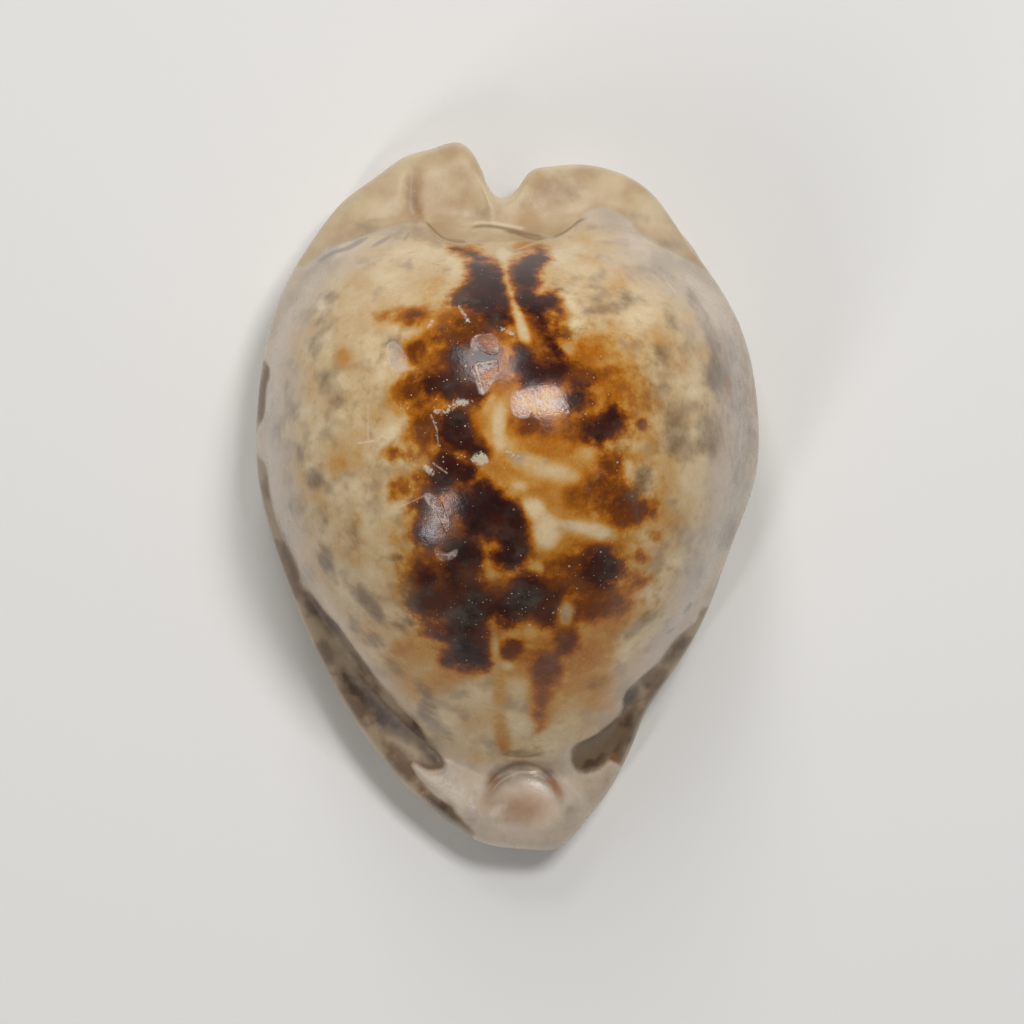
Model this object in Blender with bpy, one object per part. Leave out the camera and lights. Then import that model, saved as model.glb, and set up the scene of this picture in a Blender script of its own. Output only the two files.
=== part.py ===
"""A cowrie shell, one solid: a wall rolled in on itself, with the aperture along its base.

Metres, +Z up. +Y is the hind end with its notch, -Y the front end with its canal, -X the outer lip's side
and +X the columella's side. The shell stands on the flats of its base at z = 0.

The surface is a loft of closed rings. A section across the rings starts at the crown, runs down to the
margin, turns under the base to the edge of the aperture, goes in over the lip and ends under the crown.
"""

import bmesh
import bpy
import numpy as np

MM = 0.001

# Driving dimensions. They and the tables below are in millimetres.
HEIGHT = 27.0
WALL = 1.9
END_WALL = 3.1
CENTRE = (0.2, 3.0)
CROWN_OVAL = (17.0, 20.0)
CAVITY_CENTRE_Z = 8.0

# The margin, seen from above and going round by the outer lip: x, y, and the height where it is widest.
MARGIN = (
    (-0.3, 21.75, 7.0), (-1.2, 22.3, 6.9), (-1.75, 23.4, 6.5), (-2.4, 24.9, 5.8), (-3.7, 25.97, 5.2),
    (-5.6, 25.5, 4.9), (-7.6, 24.9, 4.8), (-9.8, 23.35, 4.9), (-12.1, 21.6, 5.1), (-14.2, 18.9, 5.4),
    (-16.3, 15.4, 5.8), (-17.7, 11.0, 6.2), (-18.3, 6.4, 6.4), (-18.3, 2.2, 6.4), (-17.5, -2.1, 6.0),
    (-16.1, -6.3, 5.4), (-14.6, -10.1, 5.0), (-12.9, -13.6, 4.6), (-10.8, -17.1, 4.4), (-8.1, -20.6, 4.2),
    (-5.6, -22.95, 4.1), (-3.1, -24.8, 4.1), (-1.0, -25.7, 4.2), (1.6, -25.95, 4.4), (3.5, -25.9, 4.3),
    (4.9, -24.9, 4.2), (6.1, -23.4, 4.2), (7.4, -21.7, 4.3), (8.6, -19.5, 4.4), (9.5, -17.4, 4.6),
    (10.4, -15.4, 4.8), (12.5, -12.3, 5.1), (14.6, -8.5, 5.4), (16.1, -4.4, 5.8), (17.4, -1.0, 6.2),
    (18.3, 2.6, 6.4), (18.2, 7.4, 6.4), (17.2, 12.0, 6.1), (15.2, 15.8, 5.7), (12.8, 19.2, 5.3),
    (10.9, 21.9, 5.0), (8.6, 23.6, 4.9), (5.6, 24.35, 4.9), (3.2, 24.2, 5.2), (1.7, 23.8, 5.9),
    (0.75, 22.5, 6.7),
)

# The edge of the aperture: the margin point that it faces, x, y, and the edge's height.
LIP = (
    (0, -0.3, 21.6, 5.4), (1, -1.2, 22.15, 5.0), (2, -1.6, 23.1, 4.2), (3, -1.85, 24.0, 3.2),
    (4, -2.1, 24.1, 2.5), (5, -2.2, 23.2, 2.0), (7, -2.3, 20.4, 1.8), (9, -2.5, 16.6, 1.5),
    (11, -3.1, 10.2, 1.5), (13, -3.8, 2.2, 1.5), (15, -4.2, -6.0, 1.5), (17, -4.0, -13.0, 1.5),
    (19, -2.7, -19.6, 1.9), (20, -1.9, -22.1, 2.2), (21, -1.2, -23.9, 2.5), (22, -0.4, -25.0, 2.9),
    (23, 1.5, -25.6, 3.2), (24, 3.1, -25.1, 2.9), (25, 3.8, -24.0, 2.5), (26, 3.9, -22.5, 2.2),
    (28, 3.5, -18.7, 1.8), (30, 2.6, -14.9, 1.5), (32, 1.1, -8.3, 1.5), (34, 0.4, -1.2, 1.5),
    (36, 0.5, 7.0, 1.5), (38, 0.8, 14.6, 1.5), (40, 1.1, 19.4, 1.8), (42, 1.45, 22.2, 2.1),
    (43, 1.5, 22.8, 2.7), (44, 1.15, 22.8, 3.7), (45, 0.5, 22.2, 4.7),
)

# The dome's ridge from the side: y, height. It starts below the callus at each end.
RIDGE = (
    (-21.5, 3.4), (-19.8, 6.4), (-17.5, 10.6), (-14.0, 15.8), (-10.0, 20.3), (-5.0, 24.3),
    (0.0, 26.5), (4.5, HEIGHT), (9.0, 26.2), (13.0, 23.4), (16.0, 19.2), (18.4, 13.4), (20.0, 8.0),
    (21.0, 3.4),
)

# The dome's footprint from above: y, x on the outer lip's side, x on the columella's side.
FOOTPRINT = (
    (-20.8, -0.8, 3.6), (-19.0, -4.4, 6.4), (-16.5, -7.6, 8.4), (-12.5, -11.2, 11.2), (-8.0, -14.2, 13.9),
    (-3.0, -16.6, 16.3), (3.0, -17.8, 17.7), (8.0, -17.6, 17.5), (13.0, -16.6, 16.4), (17.0, -14.8, 14.3),
    (19.8, -11.4, 11.6), (21.2, -4.4, 5.2),
)
DOME_BASE = 3.0
DOME_FULLNESS = 2.25
# The hollow in the dome's hind face, over the covered spire: x, y, half width, half length, depth.
SPIRE_HOLLOW = (0.2, 20.0, 3.4, 1.9, 3.0)

# The callus between dome and margin: margin point, height of its top, and how square its edge is.
CALLUS = (
    (0, 8.4, 16.0), (4, 7.6, 11.0), (7, 8.4, 8.0), (10, 11.5, 5.5), (13, 13.5, 5.0), (15, 11.0, 5.0),
    (18, 8.2, 5.0), (21, 6.8, 8.0), (23, 6.4, 11.0), (25, 6.8, 8.0), (28, 8.0, 5.5), (31, 10.5, 5.0),
    (35, 13.5, 5.0), (38, 12.0, 5.5), (41, 8.4, 8.0), (43, 7.6, 11.0),
)
CALLUS_BLEND = 2.6
# The rounded knob on the front end's callus: x, y, half width, half length, height.
KNOB = (1.3, -23.0, 3.7, 2.6, 1.2)
# The crease that arches behind the knob: centre, radius, half width, depth.
CREASE = (1.7, -23.8, 3.9, 0.5, 0.45)
# The groove down the hind lobe on the outer lip's side: x, from y, to y, half width, depth.
LOBE_GROOVE = (-7.0, 20.6, 24.2, 0.5, 0.4)

# Under the margin: how far in, and what share of the margin's height is left.
MARGIN_TURN = ((0.12, 0.62), (0.7, 0.30), (2.0, 0.06))
# The base arches up by this much at its widest. Its control points run from near the margin to near the lip.
BASE_ARCH = 0.5
BASE_SPAN = (3.6, 2.4)
BASE_CONTROLS = ((0.0, 0.5), (0.16, 0.0), (0.32, 0.0), (0.48, 0.0), (0.64, 0.0), (0.8, 0.0), (1.0, 0.8))
LIP_RISE = 1.6

# Inside, from the lip to the wall: how far from lip to margin, and how high in the room above the lip.
LIP_FLOOR = ((0.02, 0.06), (0.12, 0.13), (0.38, 0.14), (0.60, 0.15), (0.73, 0.22), (0.78, 0.34))
COLUMELLA = ((0.00, 0.10), (0.05, 0.27), (0.25, 0.50), (0.50, 0.40), (0.62, 0.18), (0.78, 0.22))
COLUMELLA_AT_ENDS = ((0.00, 0.10), (0.05, 0.23), (0.22, 0.34), (0.45, 0.37), (0.60, 0.37), (0.72, 0.38))
# A canal's roof runs level before it rises: the share of its way inwards, in x and y, where it turns up.
KNEE = (0.1, 0.6, 0.0)
# How much the two ends are solid beside their canals, and the width below which all of it is a canal.
SOLID_ENDS = 0.6
CANAL_WIDTH = 5.0
CEILING = (0.7, 0.55, 0.4, 0.25, 0.1, 0.0)

RING_POINTS = 96
# Rings from crown to margin, from margin to lip, and from lip to the point under the crown.
RINGS = (22, 14, 14)
FINE_STEPS = 400


def spline(knots, values, at, period=None):
    """Read the smooth cubic curve through the values at the knots. It closes on itself if it has a period."""
    knots = np.asarray(knots, float)
    values = np.asarray(values, float)
    if period:
        knots = np.append(knots, knots[0] + period)
        values = np.append(values, values[:1], axis=0)
    gap = np.diff(knots)
    rise = (np.diff(values, axis=0).T / gap).T
    count = len(knots)
    matrix = np.zeros((count, count))
    right = np.zeros_like(values)
    for i in range(1, count - 1):
        matrix[i, i - 1] = 1.0 / gap[i - 1]
        matrix[i, i + 1] = 1.0 / gap[i]
        matrix[i, i] = 2.0 * (matrix[i, i - 1] + matrix[i, i + 1])
        right[i] = 3.0 * (rise[i - 1] / gap[i - 1] + rise[i] / gap[i])
    if period:
        matrix[0, -2] = 1.0 / gap[-1]
        matrix[0, 1] = 1.0 / gap[0]
        matrix[0, 0] = 2.0 * (matrix[0, -2] + matrix[0, 1])
        right[0] = 3.0 * (rise[-1] / gap[-1] + rise[0] / gap[0])
        matrix[-1, 0] = -1.0
        matrix[-1, -1] = 1.0
    else:
        matrix[0, :2] = 2.0, 1.0
        matrix[-1, -2:] = 1.0, 2.0
        right[0] = 3.0 * rise[0]
        right[-1] = 3.0 * rise[-1]
    slope = np.linalg.solve(matrix, right)
    at = np.asarray(at, float)
    if period:
        at = knots[0] + np.mod(at - knots[0], period)
    cell = np.clip(np.searchsorted(knots, at, side="right") - 1, 0, count - 2)
    width = gap[cell]
    t = np.clip((at - knots[cell]) / width, 0.0, 1.0)
    if values.ndim > 1:
        width = width[..., None]
        t = t[..., None]
    start = values[cell] * (1 + 2 * t) * (1 - t) ** 2 + slope[cell] * width * t * (1 - t) ** 2
    end = values[cell + 1] * t ** 2 * (3 - 2 * t) - slope[cell + 1] * width * t ** 2 * (1 - t)
    return start + end


def b_spline(controls, count):
    """Smooth curves near the control points, from the first to the last one."""
    first = 2 * controls[0] - controls[1]
    last = 2 * controls[-1] - controls[-2]
    controls = np.concatenate([first[None], controls, last[None]])
    at = np.linspace(0.0, len(controls) - 3, count)
    cell = np.minimum(at.astype(int), len(controls) - 4)
    t = (at - cell)[:, None, None]
    return (
        controls[cell] * (1 - t) ** 3
        + controls[cell + 1] * (3 * t ** 3 - 6 * t ** 2 + 4)
        + controls[cell + 2] * (-3 * t ** 3 + 3 * t ** 2 + 3 * t + 1)
        + controls[cell + 3] * t ** 3
    ) / 6.0


def smooth_step(low, high, value):
    """0 below low, 1 above high, and smooth between them."""
    t = np.clip((value - low) / (high - low), 0.0, 1.0)
    return t * t * (3.0 - 2.0 * t)


def respace(path, count):
    """Give each section count points after its first one, evenly spaced along its length."""
    step = np.linalg.norm(np.diff(path, axis=0), axis=2)
    along = np.concatenate([np.zeros((1, path.shape[1])), np.cumsum(step, axis=0)])
    result = np.empty((count, path.shape[1], 3))
    for i in range(path.shape[1]):
        wanted = np.linspace(0.0, along[-1, i], count + 1)[1:]
        for axis in range(3):
            result[:, i, axis] = np.interp(wanted, along[:, i], path[:, i, axis])
    return result


def read_table(rows, at, period=None):
    """Read a table whose rows start with their place along the curve."""
    rows = np.array(rows, float)
    return spline(rows[:, 0], rows[:, 1:], at, period)


def dome_height(x, y):
    """Height of the dome without its callus."""
    top = read_table(RIDGE, y)[..., 0]
    left, right = np.moveaxis(read_table(FOOTPRINT, y), -1, 0)
    across = np.abs(x - (right + left) / 2.0) * 2.0 / (right - left)
    across = np.clip(1.0 - across ** DOME_FULLNESS, 0.0, None) ** (1.0 / DOME_FULLNESS)
    hollow_x, hollow_y, half_width, half_length, depth = SPIRE_HOLLOW
    hollow = depth * np.exp(-((x - hollow_x) / half_width) ** 2 - ((y - hollow_y) / half_length) ** 2)
    return DOME_BASE + (top - DOME_BASE) * across - hollow


def relief(x, y):
    """Height of the lumps and creases on the callus."""
    knob_x, knob_y, half_width, half_length, height = KNOB
    off_centre = ((x - knob_x) / half_width) ** 2 + ((y - knob_y) / half_length) ** 2
    knob = height * np.exp(-off_centre ** 2)
    crease_x, crease_y, radius, half_width, depth = CREASE
    off_line = (np.hypot(x - crease_x, y - crease_y) - radius) / half_width
    crease = depth * np.exp(-off_line ** 2) * smooth_step(0.0, 2.0, y - crease_y)
    groove_x, start, end, half_width, depth = LOBE_GROOVE
    ends = smooth_step(start - 0.8, start, y) * smooth_step(end + 0.8, end, y)
    groove = depth * np.exp(-((x - groove_x) / half_width) ** 2) * ends
    return knob - crease - groove


class Loft:
    """Sections of the shell, one for each point on a ring, going round by the outer lip."""

    def __init__(self, ring_points):
        at = np.arange(ring_points) * len(MARGIN) / ring_points
        turned = np.pi / 2.0 + at * 2.0 * np.pi / len(MARGIN)
        self.oval = np.stack([CROWN_OVAL[0] * np.cos(turned), CROWN_OVAL[1] * np.sin(turned)], axis=-1)
        self.margin = spline(range(len(MARGIN)), MARGIN, at, len(MARGIN))
        self.lip = read_table(LIP, at, len(MARGIN))
        self.callus = read_table(CALLUS, at, len(MARGIN))
        self.across = self.lip[:, :2] - self.margin[:, :2]
        self.width = np.linalg.norm(self.across, axis=1)
        # Where margin and lip meet, at both ends, the wall is only a rim.
        rim = 1.0 / (1.0 + (self.width / 1.5) ** 2)
        self.crest = np.maximum(0.0, self.lip[:, 2] - LIP_RISE * (1.0 - rim))

    def upper(self, reach):
        """Points of the upper surface at one reach: 0 at the crown, 1 at the margin."""
        outwards = self.oval + smooth_step(0.1, 0.85, reach) * (self.margin[:, :2] - CENTRE - self.oval)
        x, y = (CENTRE + reach * outwards).T
        edge = np.sqrt(np.clip(1.0 - reach ** self.callus[:, 1], 0.0, None))
        callus = self.margin[:, 2] + (self.callus[:, 0] - self.margin[:, 2]) * edge
        dome = dome_height(x, y)
        skin = (dome + callus + np.sqrt((dome - callus) ** 2 + (CALLUS_BLEND * edge) ** 2)) / 2.0
        return np.stack([x, y, skin + relief(x, y) * edge], axis=-1)

    def below(self, share, height):
        """Points at a share of the way from margin to lip."""
        plan = self.margin[:, :2] + self.across * np.broadcast_to(share, self.width.shape)[:, None]
        return np.concatenate([plan, height[:, None]], axis=1)

    def near_edge(self, distance):
        """The share that a distance is of the base, squeezed where the base is narrow."""
        return 0.5 * distance / (self.width / 2.0 + distance)

    def base_controls(self):
        """Control points from the margin, under the base, to the edge of the aperture."""
        crest = self.crest
        drop = self.margin[:, 2] - crest
        controls = [self.below(0.0, self.margin[:, 2])]
        controls += [self.below(self.near_edge(inwards), crest + left * drop) for inwards, left in MARGIN_TURN]
        start = self.near_edge(BASE_SPAN[0])
        end = 1.0 - self.near_edge(BASE_SPAN[1])
        arch = BASE_ARCH * self.width / self.width.max()
        controls += [self.below(start + (end - start) * t, crest + lift * arch) for t, lift in BASE_CONTROLS]
        lift = self.lip[:, 2] - crest
        controls += [
            self.below(1.0 - self.near_edge(0.45), crest + 0.12 * lift),
            self.below(1.0, crest + 0.45 * lift),
            self.below(1.0 + 0.2 / (1.0 + self.width), self.lip[:, 2]),
        ]
        return controls

    def inside_controls(self, lip_edge):
        """Control points over the lip's floor or the columella, up the wall, to the point under the crown."""
        margin_y = self.margin[:, 1]
        ends = np.maximum(smooth_step(12.0, 20.0, margin_y), smooth_step(-12.0, -20.0, margin_y))
        filled = np.maximum(smooth_step(5.0, 13.0, margin_y), smooth_step(-1.0, -10.0, margin_y))
        narrow = 1.0 / (1.0 + (self.width / CANAL_WIDTH) ** 4)
        canal = (1.0 - (1.0 - narrow) * (1.0 - SOLID_ENDS * ends))[:, None]
        middle = spline((-26.0, 0.0, 24.0), (1.5, -1.8, -0.3), self.lip[:, 1])
        inner_side = smooth_step(-1.5, 1.5, self.lip[:, 0] - middle)
        shares = (1.0 - inner_side, inner_side * (1.0 - filled), inner_side * filled)
        cavity_centre = np.array([*CENTRE, CAVITY_CENTRE_Z])

        def ceiling(reach):
            away = self.upper(reach) - cavity_centre
            wall = WALL + (END_WALL - WALL) * ends * smooth_step(0.1, 0.5, reach)
            return cavity_centre + away * (1.0 - wall / np.linalg.norm(away, axis=1))[:, None]

        target = ceiling(CEILING[0])
        room = np.maximum(dome_height(self.lip[:, 0], self.lip[:, 1]) - 3.5, 3.0)
        knee = self.lip + (target - self.lip) * KNEE + (0.0, 0.0, 0.4)
        controls = []
        for k, places in enumerate(zip(LIP_FLOOR, COLUMELLA, COLUMELLA_AT_ENDS)):
            back = sum(share * place[0] for share, place in zip(shares, places))
            rise = sum(share * place[1] for share, place in zip(shares, places))
            body = self.below(1.0 - back * (1.0 - SOLID_ENDS * ends), self.lip[:, 2] + room * rise)
            t = (k + 1) / (len(LIP_FLOOR) + 1)
            throat = (1 - t) ** 2 * lip_edge + 2 * t * (1 - t) * knee + t ** 2 * target
            controls.append(body * (1 - canal) + throat * canal)
        return controls + [ceiling(reach) for reach in CEILING]

    def points(self, rings):
        """Points of the surface in millimetres: [ring, point on the ring, xyz]."""
        top = np.stack([self.upper(np.sin(turn)) for turn in np.linspace(0.0, np.pi / 2.0, FINE_STEPS)])
        base = self.base_controls()
        inside = self.inside_controls(base[-1])
        under = b_spline(np.stack(base + inside), 4 * FINE_STEPS)
        lip_turn = int(len(under) * (len(base) - 1) / (len(base) + len(inside) - 1))
        stretches = (top, under[:lip_turn], under[lip_turn - 1:])
        return np.concatenate([top[:1]] + [respace(part, count) for part, count in zip(stretches, rings)])


def shell_mesh(name):
    """The closed mesh of the shell: rings of faces between a point at the crown and one under it."""
    points = Loft(RING_POINTS).points(RINGS) * MM
    mesh = bmesh.new()
    crown = mesh.verts.new(points[0].mean(axis=0))
    rings = [[mesh.verts.new(point) for point in ring] for ring in points[1:-1]]
    under_crown = mesh.verts.new(points[-1].mean(axis=0))
    for i in range(RING_POINTS):
        j = (i + 1) % RING_POINTS
        mesh.faces.new((crown, rings[0][i], rings[0][j]))
        for upper, lower in zip(rings, rings[1:]):
            mesh.faces.new((upper[i], lower[i], lower[j], upper[j]))
        mesh.faces.new((rings[-1][i], under_crown, rings[-1][j]))
    data = bpy.data.meshes.new(name)
    mesh.to_mesh(data)
    mesh.free()
    data.shade_smooth()
    return data


def shell_material():
    """Glossy enamel in the fawn that most of the shell has."""
    material = bpy.data.materials.new("shell enamel")
    material.use_nodes = True
    shader = material.node_tree.nodes["Principled BSDF"]
    shader.inputs["Base Color"].default_value = (0.45, 0.30, 0.17, 1.0)
    shader.inputs["Roughness"].default_value = 0.2
    shader.inputs["Metallic"].default_value = 0.0
    return material


def main():
    for old in list(bpy.data.objects):
        bpy.data.objects.remove(old, do_unlink=True)
    parts = bpy.data.collections.new("teuleres cowrie")
    bpy.context.scene.collection.children.link(parts)
    shell = bpy.data.objects.new("shell", shell_mesh("shell"))
    shell.data.materials.append(shell_material())
    parts.objects.link(shell)


main()
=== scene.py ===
"""Looks of the cowrie shell: its enamelled surface with the blotched back, on a pale floor."""

import math

import bpy
import numpy as np
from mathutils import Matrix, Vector


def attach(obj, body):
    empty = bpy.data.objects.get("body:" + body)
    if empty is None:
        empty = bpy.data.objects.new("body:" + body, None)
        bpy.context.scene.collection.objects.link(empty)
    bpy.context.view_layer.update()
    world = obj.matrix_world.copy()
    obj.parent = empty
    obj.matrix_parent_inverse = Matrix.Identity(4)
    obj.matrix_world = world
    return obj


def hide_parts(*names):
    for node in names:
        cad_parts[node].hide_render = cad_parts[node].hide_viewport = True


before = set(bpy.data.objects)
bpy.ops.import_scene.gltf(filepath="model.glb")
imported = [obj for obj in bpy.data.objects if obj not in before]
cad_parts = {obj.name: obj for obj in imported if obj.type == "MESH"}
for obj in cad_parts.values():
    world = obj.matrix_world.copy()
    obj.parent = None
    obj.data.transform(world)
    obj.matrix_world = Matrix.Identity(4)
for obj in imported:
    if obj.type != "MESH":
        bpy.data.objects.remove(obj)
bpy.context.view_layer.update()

MM = 0.001

# The shell's form, in millimetres, is the same loft as in its part, with more rings and points.
HEIGHT = 27.0
WALL = 1.9
END_WALL = 3.1
CENTRE = (0.2, 3.0)
CROWN_OVAL = (17.0, 20.0)
# From where to where, on the way out, the rings turn from the crown's oval to the margin's outline.
OVAL_REACH = (0.1, 0.85)
CAVITY_CENTRE_Z = 8.0

# The margin, seen from above and going round by the outer lip: x, y, and the height where it is widest.
MARGIN = (
    (-0.3, 21.75, 7.0), (-1.2, 22.3, 6.9), (-1.75, 23.4, 6.5), (-2.4, 24.9, 5.8), (-3.7, 25.97, 5.2),
    (-5.6, 25.5, 4.9), (-7.6, 24.9, 4.8), (-9.8, 23.35, 4.9), (-12.1, 21.6, 5.1), (-14.2, 18.9, 5.4),
    (-16.3, 15.4, 5.8), (-17.7, 11.0, 6.2), (-18.3, 6.4, 6.4), (-18.3, 2.2, 6.4), (-17.5, -2.1, 6.0),
    (-16.1, -6.3, 5.4), (-14.6, -10.1, 5.0), (-12.9, -13.6, 4.6), (-10.8, -17.1, 4.4), (-8.1, -20.6, 4.2),
    (-5.6, -22.95, 4.1), (-3.1, -24.8, 4.1), (-1.0, -25.7, 4.2), (1.6, -25.95, 4.4), (3.5, -25.9, 4.3),
    (4.9, -24.9, 4.2), (6.1, -23.4, 4.2), (7.4, -21.7, 4.3), (8.6, -19.5, 4.4), (9.5, -17.4, 4.6),
    (10.4, -15.4, 4.8), (12.5, -12.3, 5.1), (14.6, -8.5, 5.4), (16.1, -4.4, 5.8), (17.4, -1.0, 6.2),
    (18.3, 2.6, 6.4), (18.2, 7.4, 6.4), (17.2, 12.0, 6.1), (15.2, 15.8, 5.7), (12.8, 19.2, 5.3),
    (10.9, 21.9, 5.0), (8.6, 23.6, 4.9), (5.6, 24.35, 4.9), (3.2, 24.2, 5.2), (1.7, 23.8, 5.9),
    (0.75, 22.5, 6.7),
)

# The edge of the aperture: the margin point that it faces, x, y, and the edge's height.
LIP = (
    (0, -0.3, 21.6, 5.4), (1, -1.2, 22.15, 5.0), (2, -1.6, 23.1, 4.2), (3, -1.85, 24.0, 3.2),
    (4, -2.1, 24.1, 2.5), (5, -2.2, 23.2, 2.0), (7, -2.3, 20.4, 1.8), (9, -2.5, 16.6, 1.5),
    (11, -3.1, 10.2, 1.5), (13, -3.8, 2.2, 1.5), (15, -4.2, -6.0, 1.5), (17, -4.0, -13.0, 1.5),
    (19, -2.7, -19.6, 1.9), (20, -1.9, -22.1, 2.2), (21, -1.2, -23.9, 2.5), (22, -0.4, -25.0, 2.9),
    (23, 1.5, -25.6, 3.2), (24, 3.1, -25.1, 2.9), (25, 3.8, -24.0, 2.5), (26, 3.9, -22.5, 2.2),
    (28, 3.5, -18.7, 1.8), (30, 2.6, -14.9, 1.5), (32, 1.1, -8.3, 1.5), (34, 0.4, -1.2, 1.5),
    (36, 0.5, 7.0, 1.5), (38, 0.8, 14.6, 1.5), (40, 1.1, 19.4, 1.8), (42, 1.45, 22.2, 2.1),
    (43, 1.5, 22.8, 2.7), (44, 1.15, 22.8, 3.7), (45, 0.5, 22.2, 4.7),
)

# The dome's ridge from the side: y, height. It starts below the callus at each end.
RIDGE = (
    (-21.5, 3.4), (-19.8, 6.4), (-17.5, 10.6), (-14.0, 15.8), (-10.0, 20.3), (-5.0, 24.3),
    (0.0, 26.5), (4.5, HEIGHT), (9.0, 26.2), (13.0, 23.4), (16.0, 19.2), (18.4, 13.4), (20.0, 8.0),
    (21.0, 3.4),
)

# The dome's footprint from above: y, x on the outer lip's side, x on the columella's side.
FOOTPRINT = (
    (-20.8, -0.8, 3.6), (-19.0, -4.4, 6.4), (-16.5, -7.6, 8.4), (-12.5, -11.2, 11.2), (-8.0, -14.2, 13.9),
    (-3.0, -16.6, 16.3), (3.0, -17.8, 17.7), (8.0, -17.6, 17.5), (13.0, -16.6, 16.4), (17.0, -14.8, 14.3),
    (19.8, -11.4, 11.6), (21.2, -4.4, 5.2),
)
DOME_BASE = 3.0
DOME_FULLNESS = 2.25
# The hollow in the dome's hind face, over the covered spire: x, y, half width, half length, depth.
SPIRE_HOLLOW = (0.2, 20.0, 3.4, 1.9, 3.0)

# The callus between dome and margin: margin point, height of its top, and how square its edge is.
CALLUS = (
    (0, 8.4, 16.0), (4, 7.6, 11.0), (7, 8.4, 8.0), (10, 11.5, 5.5), (13, 13.5, 5.0), (15, 11.0, 5.0),
    (18, 8.2, 5.0), (21, 6.8, 8.0), (23, 6.4, 11.0), (25, 6.8, 8.0), (28, 8.0, 5.5), (31, 10.5, 5.0),
    (35, 13.5, 5.0), (38, 12.0, 5.5), (41, 8.4, 8.0), (43, 7.6, 11.0),
)
CALLUS_BLEND = 2.6
# The rounded knob on the front end's callus: x, y, half width, half length, height.
KNOB = (1.3, -23.0, 3.7, 2.6, 1.2)
# The crease that arches behind the knob: centre, radius, half width, depth.
CREASE = (1.7, -23.8, 3.9, 0.5, 0.45)
# The groove down the hind lobe on the outer lip's side: x, from y, to y, half width, depth.
LOBE_GROOVE = (-7.0, 20.6, 24.2, 0.5, 0.4)

# Under the margin: how far in, and what share of the margin's height is left.
MARGIN_TURN = ((0.12, 0.62), (0.7, 0.30), (2.0, 0.06))
# The base arches up by this much at its widest. Its control points run from near the margin to near the lip.
BASE_ARCH = 0.5
BASE_SPAN = (3.6, 2.4)
BASE_CONTROLS = ((0.0, 0.5), (0.16, 0.0), (0.32, 0.0), (0.48, 0.0), (0.64, 0.0), (0.8, 0.0), (1.0, 0.8))
LIP_RISE = 1.6
# The width of the base at which it counts half as base and half as rim.
RIM_WIDTH = 1.5

# Inside, from the lip to the wall: how far from lip to margin, and how high in the room above the lip.
LIP_FLOOR = ((0.02, 0.06), (0.12, 0.13), (0.38, 0.14), (0.60, 0.15), (0.73, 0.22), (0.78, 0.34))
COLUMELLA = ((0.00, 0.10), (0.05, 0.27), (0.25, 0.50), (0.50, 0.40), (0.62, 0.18), (0.78, 0.22))
COLUMELLA_AT_ENDS = ((0.00, 0.10), (0.05, 0.23), (0.22, 0.34), (0.45, 0.37), (0.60, 0.37), (0.72, 0.38))
# A canal's roof runs level before it rises: the share of its way inwards, in x and y, where it turns up.
KNEE = (0.1, 0.6, 0.0)
# How far the roof has risen there, in millimetres.
KNEE_RISE = 0.4
# What the roof over the lip takes of the dome's height there, and the least room below it.
ROOF = 3.5
LEAST_ROOM = 3.0
# Between which y the hind end and the front end set in, and between which the columella fills the inside.
ENDS = ((12.0, 20.0), (-12.0, -20.0))
FILLED = ((5.0, 13.0), (-1.0, -10.0))
# The aperture's middle line, y and x, and how far from it the two sides are full.
APERTURE_MIDDLE = ((-26.0, 1.5), (0.0, -1.8), (24.0, -0.3))
SIDE_BLEND = 1.5
# How much the two ends are solid beside their canals, and the width below which all of it is a canal.
SOLID_ENDS = 0.6
CANAL_WIDTH = 5.0
CEILING = (0.7, 0.55, 0.4, 0.25, 0.1, 0.0)

# How far the hind shelf and the flanks lie below the enamel of the back.
SHELF_STEP = 0.2
FLANK_STEP = 0.22

RING_POINTS = 500
# Rings from crown to margin, from margin to lip, and from lip to the point under the crown.
RINGS = (122, 40, 28)
FINE_STEPS = 1200


def spline(knots, values, at, period=None):
    """Read the smooth cubic curve through the values at the knots. It closes on itself if it has a period."""
    knots = np.asarray(knots, float)
    values = np.asarray(values, float)
    if period:
        knots = np.append(knots, knots[0] + period)
        values = np.append(values, values[:1], axis=0)
    gap = np.diff(knots)
    rise = (np.diff(values, axis=0).T / gap).T
    bend = (rise.T / gap).T
    count = len(knots)
    matrix = np.zeros((count, count))
    right = np.zeros_like(values)
    right[1:-1] = 3.0 * (bend[:-1] + bend[1:])
    inner = np.arange(1, count - 1)
    matrix[inner, inner - 1] = 1.0 / gap[:-1]
    matrix[inner, inner + 1] = 1.0 / gap[1:]
    matrix[inner, inner] = 2.0 * (1.0 / gap[:-1] + 1.0 / gap[1:])
    if period:
        matrix[0, -2] = 1.0 / gap[-1]
        matrix[0, 1] = 1.0 / gap[0]
        matrix[0, 0] = 2.0 * (matrix[0, -2] + matrix[0, 1])
        right[0] = 3.0 * (rise[-1] / gap[-1] + rise[0] / gap[0])
        matrix[-1, 0] = -1.0
        matrix[-1, -1] = 1.0
    else:
        matrix[0, :2] = 2.0, 1.0
        matrix[-1, -2:] = 1.0, 2.0
        right[0] = 3.0 * rise[0]
        right[-1] = 3.0 * rise[-1]
    slope = np.linalg.solve(matrix, right)
    at = np.asarray(at, float)
    if period:
        at = knots[0] + np.mod(at - knots[0], period)
    cell = np.clip(np.searchsorted(knots, at, side="right") - 1, 0, count - 2)
    width = gap[cell]
    t = np.clip((at - knots[cell]) / width, 0.0, 1.0)
    if values.ndim > 1:
        width = width[..., None]
        t = t[..., None]
    start = values[cell] * (1 + 2 * t) * (1 - t) ** 2 + slope[cell] * width * t * (1 - t) ** 2
    end = values[cell + 1] * t ** 2 * (3 - 2 * t) - slope[cell + 1] * width * t ** 2 * (1 - t)
    return start + end


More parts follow.
